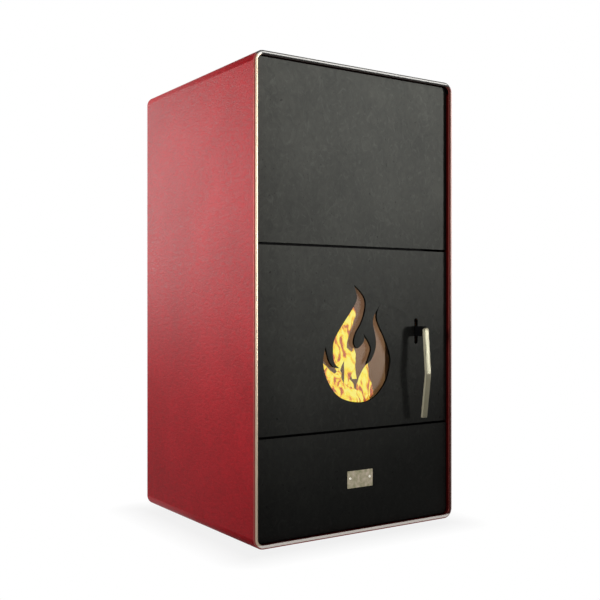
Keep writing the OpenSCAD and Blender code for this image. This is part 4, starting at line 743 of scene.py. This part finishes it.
# Each tongue has its place in Y, then X, Z and half width in metres from its foot to its tip
TONGUES = [
    (-0.175, [(0.019, 0.384, 0.005), (0.017, 0.398, 0.012), (0.014, 0.417, 0.022), (0.018, 0.437, 0.027),
              (0.025, 0.458, 0.024), (0.038, 0.480, 0.018), (0.051, 0.500, 0.017), (0.065, 0.519, 0.013),
              (0.071, 0.532, 0.007), (0.073, 0.544, 0.001)]),
    (-0.190, [(0.030, 0.352, 0.004), (0.034, 0.362, 0.007), (0.040, 0.376, 0.011), (0.045, 0.392, 0.013),
              (0.048, 0.409, 0.017), (0.045, 0.423, 0.015), (0.042, 0.434, 0.008), (0.039, 0.443, 0.001)]),
    (-0.185, [(0.060, 0.364, 0.006), (0.059, 0.378, 0.007), (0.059, 0.394, 0.008), (0.059, 0.411, 0.010),
              (0.060, 0.425, 0.007), (0.064, 0.439, 0.001)]),
    (-0.210, [(0.059, 0.302, 0.021), (0.069, 0.321, 0.023), (0.074, 0.337, 0.023), (0.073, 0.354, 0.019),
              (0.072, 0.368, 0.016), (0.080, 0.384, 0.009), (0.087, 0.394, 0.005), (0.092, 0.403, 0.001)]),
    (-0.215, [(0.069, 0.316, 0.014), (0.079, 0.326, 0.014), (0.087, 0.335, 0.010), (0.094, 0.340, 0.005),
              (0.101, 0.344, 0.001)]),
    (-0.215, [(-0.016, 0.305, 0.030), (-0.026, 0.340, 0.030), (-0.029, 0.356, 0.030), (-0.033, 0.373, 0.028),
              (-0.040, 0.386, 0.020), (-0.047, 0.397, 0.009), (-0.051, 0.408, 0.001)]),
    (-0.205, [(0.011, 0.324, 0.015), (0.005, 0.343, 0.013), (0.000, 0.360, 0.013), (-0.002, 0.373, 0.013),
              (0.002, 0.382, 0.008), (0.006, 0.391, 0.001)]),
    (-0.220, [(0.017, 0.298, 0.037), (0.020, 0.316, 0.034), (0.024, 0.330, 0.026), (0.022, 0.341, 0.017),
              (0.016, 0.350, 0.009), (0.007, 0.359, 0.001)]),
    (-0.150, [(0.075, 0.326, 0.014), (0.075, 0.343, 0.011), (0.073, 0.360, 0.005), (0.072, 0.369, 0.001)]),
    (-0.110, [(0.000, 0.330, 0.030), (-0.006, 0.380, 0.028), (0.004, 0.430, 0.018), (0.012, 0.476, 0.001)]),
    (-0.100, [(-0.035, 0.330, 0.018), (-0.040, 0.365, 0.014), (-0.036, 0.400, 0.001)]),
]


def make_fire():
    """Tongues of flame over the burn pot, each a flattened, ragged, closed form."""
    stops = [(0.36, (0.50, 0.13, 0.06)), (0.42, (0.78, 0.26, 0.05)), (0.465, (1.0, 0.62, 0.06)),
             (0.51, (1.0, 0.86, 0.06)), (0.60, (1.0, 0.95, 0.20))]
    flame = burning("flame_light", stops, 42, (1, 1, 0.45), 1.0)
    rng = random.Random(7)
    for number, (y, rows) in enumerate(TONGUES, 1):
        phases = [rng.uniform(0, 2 * math.pi) for _ in range(4)]
        line = smooth_through(rows, TONGUE_STEPS) + [Vector(rows[-1])]
        rings = []
        for i, (x, z, half) in enumerate(line):
            t = i / (len(line) - 1)
            sway = TONGUE_SWAY * math.sin(9 * t + phases[0]) * t
            waist = 1 + 0.10 * math.sin(17 * t + phases[2])
            ring = []
            for k in range(TONGUE_POINTS):
                angle = 2 * math.pi * k / TONGUE_POINTS
                ragged = half * (waist + 0.16 * math.sin(3 * angle + 7 * t + phases[1]))
                u, v = ragged * math.cos(angle), TONGUE_DEPTH * ragged * math.sin(angle)
                ring.append(Vector((x + sway + u, y + TONGUE_LEAN * t + v, z)))
            rings.append(ring)
        tongue = add_piece(f"flame_{number}", loft(f"flame_{number}", rings), flame, "root", 80)
        tongue.visible_shadow = False


def make_embers():
    """Pellets heaped in the burn pot, glowing in patches."""
    glow = burning("ember_light", [(0.30, (0.02, 0.006, 0.003)), (0.46, (0.55, 0.06, 0.008)),
                                  (0.62, (1.0, 0.42, 0.06))], 75, (1, 1, 1), 1.3)
    low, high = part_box("burn_pot")
    rng = random.Random(11)
    shape = bmesh.new()
    for _ in range(PELLETS):
        length, radius = rng.uniform(*PELLET_LENGTHS), PELLET_RADIUS
        spot = Vector((rng.uniform(low.x + PELLET_ROOM, high.x - PELLET_ROOM),
                       rng.uniform(low.y + PELLET_ROOM, high.y - PELLET_ROOM),
                       rng.uniform(low.z + 0.016, high.z - 0.012)))
        lean = Vector((rng.uniform(-1, 1), rng.uniform(-1, 1), rng.uniform(-0.4, 0.4)))
        turn = lean.to_track_quat("Z", "Y")
        ends = [(-length / 2, 0.8), (-length / 2 + 0.0008, 1), (length / 2 - 0.0008, 1), (length / 2, 0.8)]
        rows = [[shape.verts.new(spot + turn @ Vector((radius * share * math.cos(k * math.pi / 4),
                                                       radius * share * math.sin(k * math.pi / 4), along)))
                 for k in range(8)] for along, share in ends]
        for a, b in zip(rows, rows[1:]):
            for j in range(8):
                shape.faces.new((a[j], a[(j + 1) % 8], b[(j + 1) % 8], b[j]))
        shape.faces.new(rows[0][::-1])
        shape.faces.new(rows[-1])
    mesh = bpy.data.meshes.new("pellet_bed")
    shape.to_mesh(mesh)
    shape.free()
    add_piece("pellet_bed", mesh, glow, "root", 50)


# Carried-over solids: the finish of each, and a fine round on its edges

FINE_EDGE = 0.0004
PLAIN_EDGES = {"auger_screw", "door_glass", "fire_tubes", "turbulators", "display_window"}


def dress_frame():
    slot_of = {part["node"]: part["material_slot"] for part in frame["record"]["subparts"]}
    for name, solid in frame["nodes"].items():
        solid.data.materials.clear()
        solid.data.materials.append(finishes[slot_of[name]])
        if name in PLAIN_EDGES:
            continue
        solid.modifiers.new("weld", "WELD").merge_threshold = 1e-5
        rounded = solid.modifiers.new("edges", "BEVEL")
        rounded.width = FINE_EDGE
        rounded.segments = 2
        rounded.limit_method = "ANGLE"
        rounded.angle_limit = math.radians(40)
        rounded.harden_normals = True


# Studio: floor, world, lamps and camera

def shown_rays(tree):
    """1 for rays from the camera, a shiny surface or glass, and 0 for soft light."""
    paths = tree.nodes.new("ShaderNodeLightPath")
    total = paths.outputs["Is Camera Ray"]
    for ray in ("Is Glossy Ray", "Is Transmission Ray"):
        node = tree.nodes.new("ShaderNodeMath")
        node.operation = "MAXIMUM"
        tree.links.new(total, node.inputs[0])
        tree.links.new(paths.outputs[ray], node.inputs[1])
        total = node.outputs[0]
    return total


def make_world():
    world = bpy.data.worlds.new("studio")
    bpy.context.scene.world = world
    world.use_nodes = True
    tree = world.node_tree
    tree.nodes.clear()
    levels = []
    for level in (AMBIENT_LEVEL, BACKDROP_LEVEL):
        node = tree.nodes.new("ShaderNodeBackground")
        node.inputs["Color"].default_value = (1, 1, 1, 1)
        node.inputs["Strength"].default_value = level
        levels.append(node.outputs[0])
    mixed = tree.nodes.new("ShaderNodeMixShader")
    tree.links.new(shown_rays(tree), mixed.inputs[0])
    tree.links.new(levels[0], mixed.inputs[1])
    tree.links.new(levels[1], mixed.inputs[2])
    output = tree.nodes.new("ShaderNodeOutputWorld")
    tree.links.new(mixed.outputs[0], output.inputs[0])


FLOOR_RADIUS = 7.0
FLOOR_TONE = 0.35
# Share of plain white in the floor, under the stove and away from it: less white near the stove lets the real
# shadow show, and also darkens the floor round the stove as painted shade
FLOOR_WHITE = (0.86, 1.0)
FLOOR_SHADE = 0.10


def make_floor():
    shape = bmesh.new()
    bmesh.ops.create_circle(shape, cap_ends=True, segments=96, radius=FLOOR_RADIUS)
    mesh = bpy.data.meshes.new("floor")
    shape.to_mesh(mesh)
    shape.free()
    floor = bpy.data.objects.new("floor", mesh)
    bpy.context.scene.collection.objects.link(floor)
    m = Surface("floor_paint", Specular_IOR_Level=0.0, Roughness=0.9)
    m.colour(m.ramp(m.noise(3, 2), [(0.3, (FLOOR_TONE - 0.02,) * 3), (0.7, (FLOOR_TONE + 0.02,) * 3)]))
    beyond = [m.maths("MAXIMUM", m.maths("SUBTRACT", m.maths("ABSOLUTE", m.axis(letter)), half), 0.0)
              for letter, half in (("X", casing_high.x), ("Y", (casing_high.y - casing_low.y) / 2))]
    away = m.maths("SQRT", m.maths("ADD", *[m.maths("POWER", side, 2) for side in beyond]))
    # Less plain white close to the stove: the real shadow shows there, and the floor is darkened round the
    # footprint as painted shade
    share = m.span(away, *FLOOR_WHITE, (0.0, FLOOR_SHADE))
    factor = m.maths("MULTIPLY", share, shown_rays(m.tree))
    white = m.add("ShaderNodeEmission", {"Color": (1, 1, 1, 1), "Strength": BACKDROP_LEVEL})
    mixed = m.add("ShaderNodeMixShader", {0: factor, 1: m.shader.outputs[0], 2: white.outputs[0]})
    m.tree.links.new(mixed.outputs[0], m.tree.nodes["Material Output"].inputs["Surface"])
    mesh.materials.append(m.material)


# Area lamps: name, place, target, size, watts, colour and spread in degrees
LAMPS = [
    ("key", (2.35, -2.77, 0.66), (-0.48, -0.28, 1.37), (0.48, 0.45), 15.0, (1.0, 0.99, 0.95), 36.5),
    ("side_sheen", (-1.38, 1.95, 1.125), (-0.29, 0.0, 1.085), (1.4, 1.24), 15.5, (1.0, 0.97, 0.96), 90),
    ("side_fill", (-2.6, -0.65, 0.95), (-0.29, -0.30, 0.74), (0.7, 0.7), 1.6, (1.0, 0.98, 0.96), 40),
    ("rear_fill", (2.1, 2.6, 2.2), (0.1, 0.2, 0.6), (1.6, 1.6), 45, (1.0, 0.99, 0.98), 120),
]
# Soft light of the fire on its lining
FIRE_GLOW_AT = (-0.03, -0.165, 0.47)
FIRE_GLOW_WATTS = 0.92


def add_lamp(name, place, target, size, power, colour, spread):
    data = bpy.data.lights.new(name, "AREA")
    data.shape = "RECTANGLE"
    data.size, data.size_y = size
    data.energy = power
    data.color = colour
    data.spread = math.radians(spread)
    lamp = bpy.data.objects.new(name, data)
    lamp.location = place
    lamp.rotation_euler = (Vector(target) - Vector(place)).to_track_quat("-Z", "Y").to_euler()
    lamp.visible_camera = False
    bpy.context.scene.collection.objects.link(lamp)


def make_lamps():
    for row in LAMPS:
        add_lamp(*row)
    glow = bpy.data.lights.new("fire_glow", "POINT")
    glow.energy = FIRE_GLOW_WATTS
    glow.color = (1.0, 0.94, 0.86)
    glow.shadow_soft_size = 0.05
    lamp = bpy.data.objects.new("fire_glow", glow)
    lamp.location = FIRE_GLOW_AT
    lamp.visible_camera = lamp.visible_glossy = lamp.visible_transmission = False
    bpy.context.scene.collection.objects.link(lamp)


def make_camera():
    data = bpy.data.cameras.new("camera")
    data.sensor_fit = "HORIZONTAL"
    data.lens = CAMERA_LENS
    data.shift_y = CAMERA_SHIFT_UP
    camera = bpy.data.objects.new("camera", data)
    camera.location = CAMERA_AT
    camera.rotation_euler = (math.radians(90), 0, -math.radians(CAMERA_YAW))
    bpy.context.scene.collection.objects.link(camera)
    bpy.context.scene.camera = camera


make_camera()
dress_frame()
make_rim()
make_panels()
make_handle()
make_gasket()
make_fire()
make_embers()
make_world()
make_floor()
make_lamps()

bpy.context.scene.view_settings.view_transform = "Standard"
bpy.context.view_layer.update()
